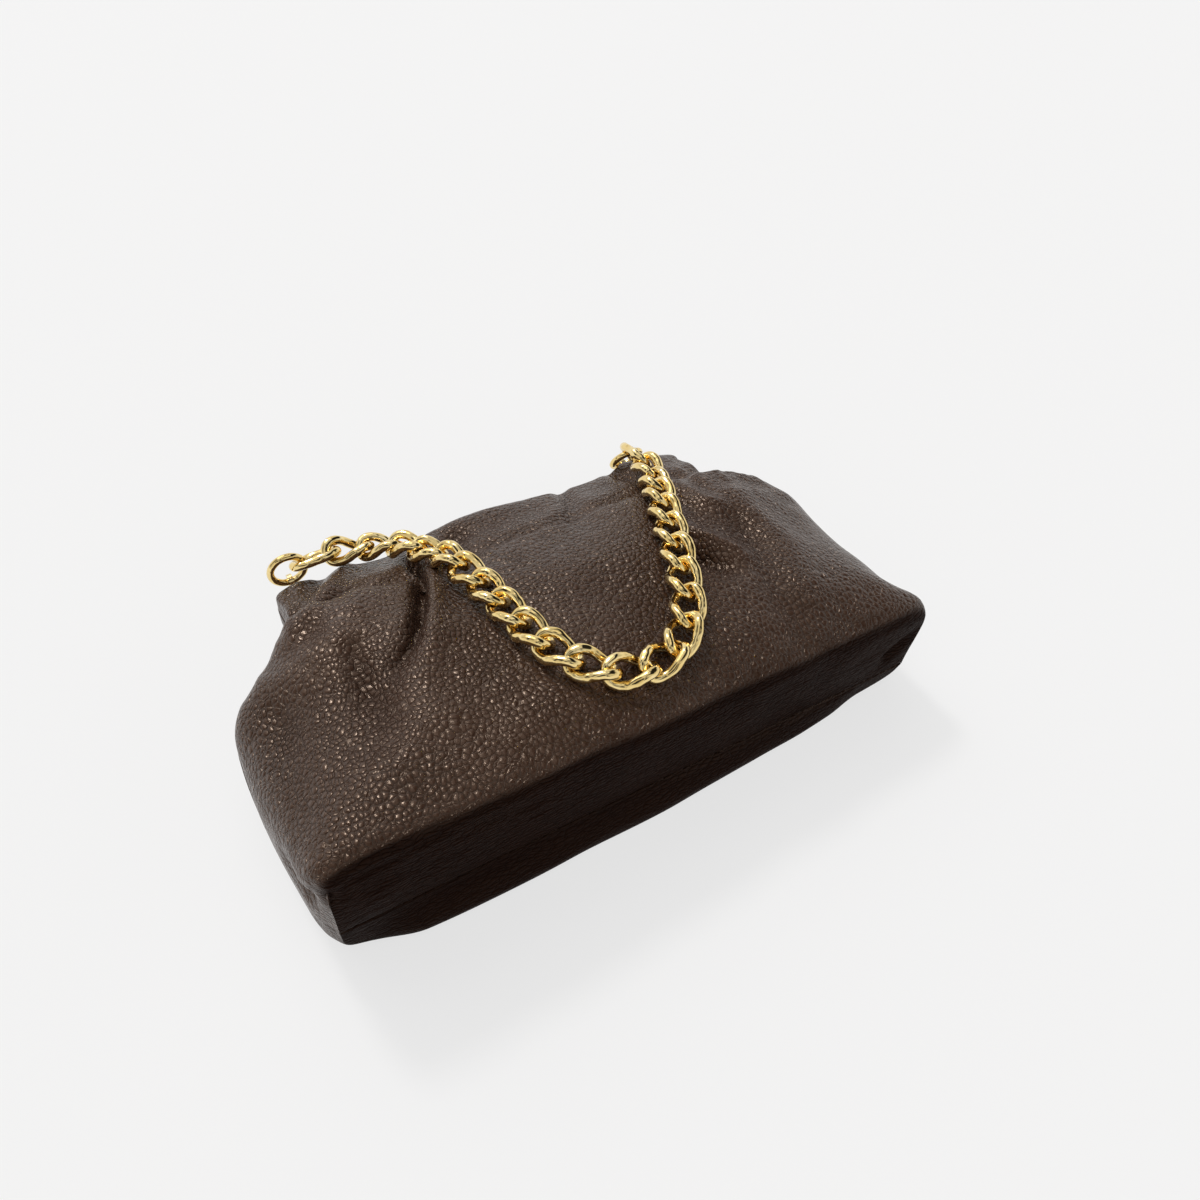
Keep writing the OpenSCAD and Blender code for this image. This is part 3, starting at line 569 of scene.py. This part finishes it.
def rollHeight(y):  # height of the leather over the roll and the slope to the lip
    start = (hingeY + bag["roll"] * math.cos(lipTurn), mouthZ + bag["roll"] * math.sin(lipTurn))
    end = (lipCentre[0] + bag["lip"] * math.cos(lipTurn), lipCentre[1] + bag["lip"] * math.sin(lipTurn))
    circle = mouthZ + np.sqrt(np.maximum(0, bag["roll"] ** 2 - (y - hingeY) ** 2))
    slope = start[1] + (end[1] - start[1]) * (y - start[0]) / (end[0] - start[0])
    return np.where(y < start[0], circle, slope)


def mouthRows(sheet, flat):
    # places and heights from the split over the roll, down the slope and round the lip
    # flat gives the panel's own height there
    rows = []
    lipStart = lipCentre[0] + bag["lip"] * math.cos(lipTurn)
    for y in np.linspace(hingeY - bag["rollStart"], lipStart, sheet["rollRows"]):
        share = (y - baseY) / bag["depth"]
        w = float(softStep(y, hingeY - bag["rollStart"] - 1, hingeY))
        rows.append((y, (1 - w) * flat(share) + w * float(rollHeight(y))))
    for turn in np.linspace(lipTurn, 0, sheet["lipRows"])[1:]:
        rows.append((lipCentre[0] + bag["lip"] * math.cos(turn), lipCentre[1] + bag["lip"] * math.sin(turn)))
    for z in (mouthZ + 2.2, mouthZ + 1.2, mouthZ + 0.45):
        rows.append((lipY, z))
    return rows


def tipped(curve, y, radius):  # rounds the two corners of the lip, seen from above
    past = y - (lipY + 0.5 - radius)
    if past <= 0:
        return curve
    draw = radius - math.sqrt(max(0.0, radius ** 2 - past ** 2))
    half = np.abs(curve[:, 0]).max()
    curve[:, 0] *= (half - draw) / half
    return curve


def sheetRows(sheet, section, flat, side):  # grid of one half's leather; side is 1 for the front and -1 for the back
    count = sheet["columns"]
    first = sheet["foldRadius"] / bag["depth"]
    outline = section(0.0, count)
    after = section(first, count)
    seam = outline.copy()
    seam[:, 1] = baseY - bag["bulge"]
    seam[:, 2] = seamHeight(outline[:, 0], 0.0) + side * bag["seamGap"]
    rows = baseRows(outline, seam, after, sheet["foldRadius"], sheet["baseRows"], sheet["roundRows"])
    lastShare = (hingeY - bag["rollStart"] - baseY) / bag["depth"]
    for share in np.linspace(first, lastShare, sheet["panelRows"])[1:-1]:
        rows.append(section(share, count))
    for y, top in mouthRows(sheet, flat):
        share = (y - baseY) / bag["depth"]
        height = top if side > 0 else 2 * mouthZ - top
        rows.append(tipped(section(min(share, 1.0), count, height, y), y, bag["tipRadius"]))
    grid = np.array(rows)
    normal = gridNormals(grid)
    flip = np.sum(normal * (grid - np.array([0.0, 0.0, sheet["middle"]]))) < 0
    return grid, -normal if flip else normal, flip


def gathered(grid, seeds):  # gathers that run down from the mouth
    slim = grid * np.array([1.0, 0.16, 0.5])
    return noiseField(slim, 7.0, seeds[0]) * 0.7 + noiseField(slim, 3.6, seeds[1]) * 0.35


def wrinkled(grid, seed):  # fine wrinkles along the base
    return noiseField(grid * np.array([0.12, 1.0, 1.0]), 2.6, seed)


def shapeFront():
    sheet = frontSheet
    flat = lambda share: float(frontHeight(0.0, min(share, splitShare)))
    grid, normal, flip = sheetRows(sheet, sectionFront, flat, 1)
    x, y, z = grid[..., 0], grid[..., 1], grid[..., 2]
    rise = folded(grid, sheet["folds"], sheet["foldBoost"])
    # the gathers are closest at the ends of the mouth
    nearMouth = softStep(y, -5, 45) * (1 - 0.55 * softStep(y, 66, 86))
    nearEnds = 0.3 + 0.7 * softStep(np.abs(x + 10), 45, 115)
    rise = rise + sheet["gathers"] * gathered(grid, (11, 12)) * nearMouth * nearEnds
    for scale, height, seed in sheet["waves"]:
        rise = rise + noiseField(grid, scale, seed) * height
    # more wrinkles on the left half of the base, which swells between its seam and its fold
    onBase = 1 - softStep(y, baseY + 1, baseY + 14)
    rise = rise + wrinkled(grid, 15) * onBase * (0.18 + 0.25 * softStep(-x, -20, 90))
    rise = rise + onBase * sheet["baseSwell"] * np.sin(np.clip((z - 20) / 45, 0, 1) * math.pi)
    # the pinched row of leather along the fold of the base
    edgeGap = np.hypot(y - baseY - 1.0, z - baseHeight(x))
    rise = rise + sheet["pinch"] * np.exp(-(edgeGap / sheet["pinchWidth"]) ** 2) * softStep(x, -120, -40)
    hold = heldEdges(grid)
    rise = np.maximum(rise, -sheet["deepest"]) * hold * calmCorners(grid)
    grid = grid + normal * rise[..., None]
    grid = pushed(grid, sheet["pushes"], hold)
    return pushed(grid, corners, np.ones(grid.shape[:2])), rise, flip


def heldEdges(grid):
    # 0 where the sheet is sewn: at the base seam, the lip's inside edge and, partly, the sides
    low, high = bag["heldRows"]
    rows = grid.shape[0]
    i = np.arange(rows)[:, None]
    ends = softStep(i, 0, low) * (1 - softStep(i, rows - 1 - high, rows - 1))
    return ends * (0.35 + 0.65 * softStep(sideGap(grid), 0, 22))


def calmCorners(grid):  # 0 at the two ends of the base, where many rows meet
    return 1 - (1 - softStep(grid[..., 1], baseY + 3, baseY + 14)) * (1 - softStep(sideGap(grid), 18, 42))


def pushed(grid, pushes, hold):
    for push in pushes:
        gap = (grid - np.array(push["at"], float)) / np.array(push.get("spread", (1, 1, 1)), float)
        near = np.exp(-(np.linalg.norm(gap, axis=-1) / push["reach"]) ** 2)
        grid = grid + np.array(push["by"], float) * (near * hold)[..., None]
    return grid


# The chain: curb links, eased from the places of the frame's links until each clears the next

curbLink = {
    "half": 11.06, "bend": 6.55, "square": 2.6, "twist": 40.0, "wire": 4.85, "around": 96, "ring": 20,
    "hammer": 0.2, "play": 0.05, "ringHalf": 8.5, "ringWire": 3.6, "press": 0.25, "mostDrop": 3.4, "dentGap": 0.12,
    "passes": 14, "steps": (4, 3, 3, 0.25, 0.35), "shrink": 0.86,  # how far each ease is tried, less at each pass
    "slack": (12, 10, 10, 0.5, 0.7), "clashWeight": 200, "slackWeight": 0.6,
}
linkCount = 24
lastLink = linkCount - 1


def linkPath(startTwist, endTwist, count):  # middle of the wire: along, across, up
    t = np.linspace(0, 2 * math.pi, 721)
    c, s = np.cos(t), np.sin(t)
    power = 2 / curbLink["square"]
    x = curbLink["half"] * np.sign(c) * np.abs(c) ** power
    y = curbLink["bend"] * np.sign(s) * np.abs(s) ** power
    share = np.sin(x / curbLink["half"] * math.pi / 2)
    turn = np.radians((endTwist + startTwist) / 2 + (endTwist - startTwist) / 2 * share)
    path = np.stack([x, y * np.cos(turn), y * np.sin(turn)], -1)
    return evenly(path, count + 1)[:-1]


def meshFrame(thing):  # middle of a node's surface and its three axes, longest first
    mesh = thing.data
    mesh.calc_loop_triangles()
    points = np.empty(len(mesh.vertices) * 3, np.float32)
    mesh.vertices.foreach_get("co", points)
    points = points.reshape(-1, 3).astype(float) / mm
    triangles = np.empty(len(mesh.loop_triangles) * 3, np.int32)
    mesh.loop_triangles.foreach_get("vertices", triangles)
    corners = points[triangles.reshape(-1, 3)]
    area = np.linalg.norm(np.cross(corners[:, 1] - corners[:, 0], corners[:, 2] - corners[:, 0]), axis=1)
    centres = corners.mean(axis=1)
    middle = (centres * area[:, None]).sum(axis=0) / area.sum()
    off = centres - middle
    axes = np.linalg.eigh((off * area[:, None]).T @ off / area.sum())[1]
    return middle, axes[:, 2], axes[:, 1], axes[:, 0]


def turned(first, second, degrees):
    c, s = math.cos(math.radians(degrees)), math.sin(math.radians(degrees))
    return first * c + second * s, second * c - first * s


def placed(seat, path, ease):  # ease: roll, yaw, pitch in degrees, then along and down in mm
    middle, ahead, across, up = seat
    across, up = turned(across, up, ease[0])
    ahead, across = turned(ahead, across, ease[1])
    ahead, up = turned(ahead, up, ease[2])
    middle = middle + ahead * ease[3] - up * ease[4]
    return middle + path[:, :1] * ahead + path[:, 1:2] * across + path[:, 2:] * up


def wireGap(first, second):
    return np.linalg.norm(first[:, None] - second[None], axis=-1).min()


def pressUnder(wires, grid, normal, reach):  # how far each point of the sheet lies above the underside of the wires
    over = np.full(grid.shape[:2], -99.0)
    for wire in wires:
        low, high = wire.min(axis=0) - reach, wire.max(axis=0) + reach
        near = np.all((grid[..., :2] > low[:2]) & (grid[..., :2] < high[:2]), axis=-1) & (normal[..., 2] > 0.05)
        if not near.any():
            continue
        away = wire[None] - grid[near][:, None]
        height = np.sum(away * normal[near][:, None], axis=-1)
        side = np.sum(away ** 2, axis=-1) - height ** 2
        lift = np.where(side < reach ** 2, np.sqrt(np.maximum(reach ** 2 - side, 0)) - height, -99.0)
        over[near] = np.maximum(over[near], lift.max(axis=1))
    return over


def easeChain(grid, normal):
    seats = []
    middles = [meshFrame(nodes["link_%02d" % (k + 1)])[0] for k in range(linkCount)]
    for k in range(linkCount):
        middle, ahead, _, up = meshFrame(nodes["link_%02d" % (k + 1)])
        if np.dot(ahead, middles[min(k + 1, lastLink)] - middles[max(k - 1, 0)]) < 0:
            ahead = -ahead
        if up[2] < 0:
            up = -up
        seats.append((middle, ahead, np.cross(up, ahead), up))
    twist = curbLink["twist"]
    ends = [(-twist if k == 0 else twist, twist if k == lastLink else -twist) for k in range(linkCount)]
    paths = [linkPath(a, b, 60) for a, b in ends]
    turns = np.linspace(0, 2 * math.pi, 90, endpoint=False)[:, None]
    rings = []
    for name in ("end_ring_left", "end_ring_right"):
        middle, first, second, _ = meshFrame(nodes[name])
        rings.append(middle + curbLink["ringHalf"] * (np.cos(turns) * first + np.sin(turns) * second))
    reach = curbLink["wire"] / 2
    ease = np.zeros((linkCount, 5))
    for k in range(linkCount):
        gap = -pressUnder([placed(seats[k], paths[k], ease[k])], grid, normal, reach).max()
        fade = min(1.0, max(0.0, (min(k, lastLink - k) - 0.5) / 2))
        ease[k, 4] = min(max(gap + curbLink["press"], 0), curbLink["mostDrop"]) * fade if gap < 50 else 0.0
    wanted = ease.copy()
    wires = [placed(seats[k], paths[k], ease[k]) for k in range(linkCount)]
    need = curbLink["wire"] - curbLink["play"]
    slack = np.array(curbLink["slack"])

    def strain(k, wire, values):
        lack = [need - wireGap(wire, wires[j]) for j in (k - 1, k + 1) if 0 <= j < linkCount]
        if k in (0, lastLink):
            lack.append((curbLink["wire"] + curbLink["ringWire"]) / 2 - wireGap(wire, rings[min(k, 1)]))
        away = np.sum(((values - wanted[k]) / slack) ** 2)
        return curbLink["clashWeight"] * sum(max(0, v) ** 2 for v in lack) + curbLink["slackWeight"] * away

    steps = np.array(curbLink["steps"])
    for _ in range(curbLink["passes"]):
        for k in range(linkCount):
            best = strain(k, wires[k], ease[k])
            for column, sign in itertools.product(range(5), (1, -1)):
                trial = ease[k].copy()
                trial[column] += sign * steps[column]
                wire = placed(seats[k], paths[k], trial)
                value = strain(k, wire, trial)
                if value < best:
                    best, ease[k], wires[k] = value, trial, wire
        steps *= curbLink["shrink"]
    gaps = [wireGap(wires[k], wires[k + 1]) - curbLink["wire"] for k in range(lastLink)]
    print("chain eased, least gap %.2f mm, drops %.1f to %.1f mm" % (min(gaps), ease[:, 4].min(), ease[:, 4].max()))
    return seats, ends, ease


def linkSkin(seat, ends, ease, number):
    count, ring = curbLink["around"], curbLink["ring"]
    path = linkPath(*ends, count)
    wire = placed(seat, path, ease)
    ahead = np.roll(wire, -1, axis=0) - np.roll(wire, 1, axis=0)
    ahead /= np.linalg.norm(ahead, axis=1, keepdims=True)
    outward = wire - wire.mean(axis=0)
    outward -= np.sum(outward * ahead, axis=1, keepdims=True) * ahead
    outward /= np.linalg.norm(outward, axis=1, keepdims=True)
    side = np.cross(ahead, outward)
    turns = np.linspace(0, 2 * math.pi, ring, endpoint=False)
    local = path[:, None, :] + np.stack([np.cos(turns), np.sin(turns), turns * 0], -1)[None] * 2
    dents = noiseField(local + np.array([0, 0, number * 41.0]), 3.2, 41) * curbLink["hammer"]
    radius = curbLink["wire"] / 2 - curbLink["hammer"] * 0.4 + dents
    around = (outward[:, None, :] * np.cos(turns)[None, :, None] + side[:, None, :] * np.sin(turns)[None, :, None])
    return wire, wire[:, None, :] + around * radius[..., None]


def makeLinks(seats, ends, ease):
    wires = []
    count, ring = curbLink["around"], curbLink["ring"]
    i, j = np.meshgrid(np.arange(count), np.arange(ring), indexing="ij")
    ahead, beside = (i + 1) % count * ring, (j + 1) % ring
    quads = np.stack([i * ring + j, ahead + j, ahead + beside, i * ring + beside], -1).reshape(-1, 4)
    for k in range(linkCount):
        wire, skin = linkSkin(seats[k], ends[k], ease[k], k)
        wires.append(wire)
        piece = makeMesh("curbLink%02d" % (k + 1), skin.reshape(-1, 3), quads, chainGold)
        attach(piece, "chain")
        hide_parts("link_%02d" % (k + 1))
    print("links made")
    return wires


def leatherPiece(name, grid, depth, flip, material):  # depth is how high each point stands in a fold
    points, faces = sheetWithWall(grid, bag["leather"] * bag["wallShare"], flip)
    points[:, 2] = np.maximum(points[:, 2], 0.0)  # nothing goes through the floor
    # painted shade: points low in a fold or pressed in under the chain get a darker colour, points high on a ridge a
    # lighter one
    shade = np.clip(0.5 + depth / bag["foldShadeSpan"], 0, 1).reshape(-1)
    # 1 on the flat of the base, 0 past its fold; there the grain is drawn out and the colour is painted darker as
    # shade
    normal = gridNormals(grid) * (-1 if flip else 1)
    base = softStep(-normal[..., 1], 0.3, 0.98) * (1 - softStep(grid[..., 1], baseY + 3, baseY + 14))
    values = {"fold": np.tile(shade, 2), "base": np.tile(base.reshape(-1), 2)}
    return makeMesh(name, points, faces, material, values=values)


def makeFront():
    grid, rise, flip = shapeFront()
    normal = gridNormals(grid) * (-1 if flip else 1)
    wires = makeLinks(*easeChain(grid, normal))
    dent = np.maximum(pressUnder(wires, grid, normal, curbLink["wire"] / 2 + curbLink["dentGap"]), 0)
    dent = np.maximum(dent, softened(dent, 6))
    grid = grid - normal * dent[..., None]
    grid[0] += np.array([0, bag["turnIn"], 0])  # the edge turns in at the base seam
    piece = leatherPiece("frontLeather", grid, rise - dent, flip, frontLeather)
    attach(piece, "bag")
    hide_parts("front_panel", "front_mouth_band")
    print("front sheet made, deepest dent %.1f mm" % dent.max())


makeFront()


# The back: from the base seam over the floor side to the roll, the slope and the lower lip

backSheet = {
    "columns": 260, "baseRows": 22, "roundRows": 8, "panelRows": 90, "rollRows": 34, "lipRows": 12,
    "foldRadius": 4.0, "swell": 7.0, "middle": 30.0, "waves": [(30.0, 0.5, 23)],
    "folds": [
        ([(-70, 84, 26), (-78, 60, 13), (-90, 30, 6)], [5, 7, 10], [-1.5, -3, -0.5]),
        ([(-20, 84, 26), (-18, 60, 13), (-12, 34, 4)], [6, 8, 10], [-1, -2.4, -0.5]),
        ([(48, 84, 26), (55, 60, 13), (62, 32, 5)], [5, 7, 10], [-1.4, -2.8, -0.5]),
        ([(98, 84, 27), (104, 58, 14), (120, 28, 8)], [5, 7, 9], [-1.5, -3, -1]),
        ([(-104, 84, 27), (-112, 58, 14), (-130, 26, 8)], [5, 7, 9], [-1.5, -3, -1]),
        ([(-153, -60, 30), (-153, -76, 26), (-151, -86, 14)], [7, 7, 5], [-2.5, -3.5, -2]),
    ],
}


def makeBack():
    sheet = backSheet
    flat = lambda share: 2 * mouthZ - float(backBottom(share))
    grid, normal, flip = sheetRows(sheet, sectionBack, flat, -1)
    x, y, z = grid[..., 0], grid[..., 1], grid[..., 2]
    rise = folded(grid, sheet["folds"])
    nearMouth = softStep(y, 0, 48) * (1 - 0.5 * softStep(y, 66, 86))
    rise = rise + gathered(grid, (21, 22)) * nearMouth * (0.35 + 0.65 * softStep(np.abs(x), 45, 115))
    for scale, height, seed in sheet["waves"]:
        rise = rise + noiseField(grid, scale, seed) * height
    onBase = 1 - softStep(y, baseY + 1, baseY + 12)
    # the base swells out towards its floor edge
    swell = sheet["swell"] * (1 - np.clip(np.abs(x + 25) / 150, 0, 1) ** 3)
    rise = rise + onBase * swell * (1 - softStep(z, 4, 24)) * (normal[..., 1] < -0.3)
    rise = rise + wrinkled(grid, 25) * onBase * 0.2
    hold = heldEdges(grid)
    rise = rise * hold * calmCorners(grid)
    grid = grid + normal * rise[..., None]
    grid = pushed(grid, corners, np.ones(grid.shape[:2]))
    grid[0] += np.array([0, bag["turnIn"], 0])
    grid[..., 2] = np.maximum(grid[..., 2], 0.0)  # it lies on the floor
    piece = leatherPiece("backLeather", grid, rise, flip, backLeather)
    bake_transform(piece)
    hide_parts("back_panel", "back_mouth_band")
    print("back sheet made")


makeBack()


# The lining: a pouch inside the leather, with its mouth hemmed

liningPouch = {"columns": 120, "rows": 60, "inset": 2.9, "endInset": 6.5, "cornerInset": 6.0, "boardSpace": 2.6,
               "cloth": 0.7, "hem": 1.1, "crumple": 2.2, "fineCrumple": 0.6, "rowStep": 0.02,
               "valleyGap": 3.5, "valleyBoost": 1.2, "valleyDrop": 1.1, "capSteps": (0.75, 0.5, 0.25)}


def makeLining():
    sheet = liningPouch
    count, draw = sheet["columns"], sheet["inset"]
    endShare = (hingeY - bag["roll"] - 1.0 - baseY) / bag["depth"]
    floorY = baseY + bag["leather"] + sheet["boardSpace"]
    rows = []
    for k, share in enumerate(np.linspace(0.0, endShare, sheet["rows"])):
        loop = np.concatenate([sectionFront(share, count)[:-1], sectionBack(share, count)[::-1][:-1]])
        middle = float(seamHeight(0.0, share))
        x, z = loop[:, 0].copy(), loop[:, 2].copy()
        # further in at the two ends, most of all beside the pinched corners of the base
        ends = sheet["endInset"] + sheet["cornerInset"] * (1 - float(softStep(loop[0, 1], -60, -35)))
        loop[:, 0] = x * (1 - ends / np.abs(x).max())
        loop[:, 2] = middle + (z - middle) * np.where(
            z > middle, (z.max() - draw - middle) / (z.max() - middle), (middle - z.min() - draw) / (middle - z.min()))
        loop[:, 1] = np.maximum(loop[:, 1], floorY) + sheet["rowStep"] * k
        rows.append(loop)
    grid = np.array(rows)
    inward = np.array([0.0, 0.0, mouthZ]) - grid * np.array([1.0, 0.0, 1.0])
    inward[..., 1] = 0
    inward /= np.maximum(np.linalg.norm(inward, axis=-1, keepdims=True), 1e-6)
    wave = np.abs(noiseField(grid * np.array([1.0, 0.3, 1.0]), 13.0, 31)) * sheet["crumple"]
    wave = wave + np.abs(noiseField(grid, 5.0, 32)) * sheet["fineCrumple"]
    deep = softStep(grid[..., 1], baseY + 4, baseY + 30)
    # it follows the valleys of the front
    boost = frontSheet["foldBoost"] * sheet["valleyBoost"]
    valley = np.minimum(folded(grid + np.array([0, 0, sheet["valleyGap"]]), frontSheet["folds"], boost), 0)
    valley = valley * softStep(grid[..., 2], 24, 36)
    grid = grid + inward * (wave * deep)[..., None] + np.array([0, 0, 1.0]) * (valley * sheet["valleyDrop"])[..., None]
    rowsCount, columns = grid.shape[:2]
    hem = softStep(np.arange(rowsCount), rowsCount - 5, rowsCount - 3)[:, None, None]
    inner = grid + inward * (sheet["cloth"] + (sheet["hem"] - sheet["cloth"]) * hem)
    points = np.concatenate([grid.reshape(-1, 3), inner.reshape(-1, 3)])
    size = rowsCount * columns

    def band(low, high):  # faces between two rings of points
        return [[low + b, low + (b + 1) % columns, high + (b + 1) % columns, high + b] for b in range(columns)]

    faces = []
    for a in range(0, size - columns, columns):
        faces += band(a, a + columns)
        faces += [quad[::-1] for quad in band(size + a, size + a + columns)]
    faces += band(size - columns, 2 * size - columns)
    # the end of the pouch, closed by rings that shrink to the middle
    for start in (0, size):
        ring = points[start:start + columns]
        middle = ring.mean(axis=0)
        before = start
        for step in sheet["capSteps"]:
            fresh = len(points)
            points = np.concatenate([points, middle + (ring - middle) * step])
            faces += band(before, fresh)
            before = fresh
        points = np.concatenate([points, [middle]])
        faces += [[before + b, before + (b + 1) % columns, len(points) - 1] for b in range(columns)]
    piece = makeMesh("liningPouch", points, faces, liningTwill)
    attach(piece, "bag")
    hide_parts("lining")
    print("lining", len(points), "points")


makeLining()


# Floor, light and camera

studio = {
    "floor": 30.0, "floorTone": (0.25, 0.25, 0.252), "floorGlow": 0.685, "sky": 0.34,
    "patches": 1.9, "horizon": (2.68, 2.68, 2.68), "gapTone": (0.05, 0.048, 0.046), "panelTone": (2.1, 2.08, 2.04),
    "suns": [("softSunBack", (-0.08, 0.66, 0.75), 9.5, 1.05, (1, 0.985, 0.96)),  # place, angle, power and colour
             ("softSunWide", (-0.12, 0.66, 0.80), 42, 0.5, (1, 0.985, 0.96)),
             ("softSunTop", (0.15, 0.4, 2.0), 40, 0.22, (1, 1, 1))],
}


def makeStudio():
    make = Finish("paleFloor")
    mottle = make.noise(make.place(), 3.0, 2.0)
    colour = make.blend(mottle, tuple(c * 0.99 for c in studio["floorTone"]), studio["floorTone"])
    material = make.close(Base_Color=colour, Roughness=0.9, Specular_IOR_Level=0.1, Emission_Color=(1.0, 1.0, 1.0),
                          Emission_Strength=studio["floorGlow"])
    steps = np.linspace(-0.5, 0.5, 9) * studio["floor"] / mm
    grid = np.array([[(x, y, -0.05) for x in steps] for y in steps])
    floor = makeMesh("floor", grid.reshape(-1, 3), gridFaces(9, 9), material)
    # pale panels and darker gaps overhead for the metal to mirror, and a plain pale horizon
    make = Finish("studioSky", bpy.data.worlds)
    where = make.add("TexCoord")
    patches = make.ramp(make.noise(where, studio["patches"], 1.0),
                        [(0.44, studio["gapTone"]), (0.56, studio["panelTone"])])
    overhead = make.spread(make.add("SeparateXYZ", out=2, Vector=where), 0.2, 0.42)
    sky = make.add("Background", Color=make.blend(overhead, studio["horizon"], patches), Strength=studio["sky"])
    make.add("OutputWorld", Surface=sky)
    bpy.context.scene.world = make.owner
    for name, place, spread, power, colour in studio["suns"]:
        data = bpy.data.lights.new(name, "SUN")
        data.angle = math.radians(spread)
        data.energy = power
        data.color = colour
        lamp = bpy.data.objects.new(name, data)
        bpy.context.scene.collection.objects.link(lamp)
        lamp.rotation_euler = (-Vector(place)).to_track_quat("-Z", "Y").to_euler()
    print("floor, sky and lamps made")


view = {"turn": 34.92, "down": 49.04, "roll": 5.49, "distance": 0.530, "aim": (0.0421, 0.0336, 0.0),
        "focal": 954.2, "picture": 1200, "sensor": 36.0}  # degrees, metres, and focal length in the picture's points


def makeCamera():
    bpy.context.scene.view_settings.view_transform = "Standard"
    turn, down, roll = [math.radians(view[key]) for key in ("turn", "down", "roll")]
    forward = Vector((math.sin(turn) * math.cos(down), math.cos(turn) * math.cos(down), -math.sin(down)))
    right = Vector((math.cos(turn), -math.sin(turn), 0))
    up = right.cross(forward)
    across = right * math.cos(roll) + up * math.sin(roll)
    upward = up * math.cos(roll) - right * math.sin(roll)
    data = bpy.data.cameras.new("photoCamera")
    data.sensor_width = view["sensor"]
    data.sensor_fit = "HORIZONTAL"
    data.lens = view["sensor"] * view["focal"] / view["picture"]
    data.clip_start = 0.01
    camera = bpy.data.objects.new("photoCamera", data)
    bpy.context.scene.collection.objects.link(camera)
    spin = Matrix((across, upward, -forward)).transposed().to_4x4()
    camera.matrix_world = Matrix.Translation(Vector(view["aim"]) - forward * view["distance"]) @ spin
    bpy.context.scene.camera = camera


makeStudio()
makeCamera()
print("scene ready")
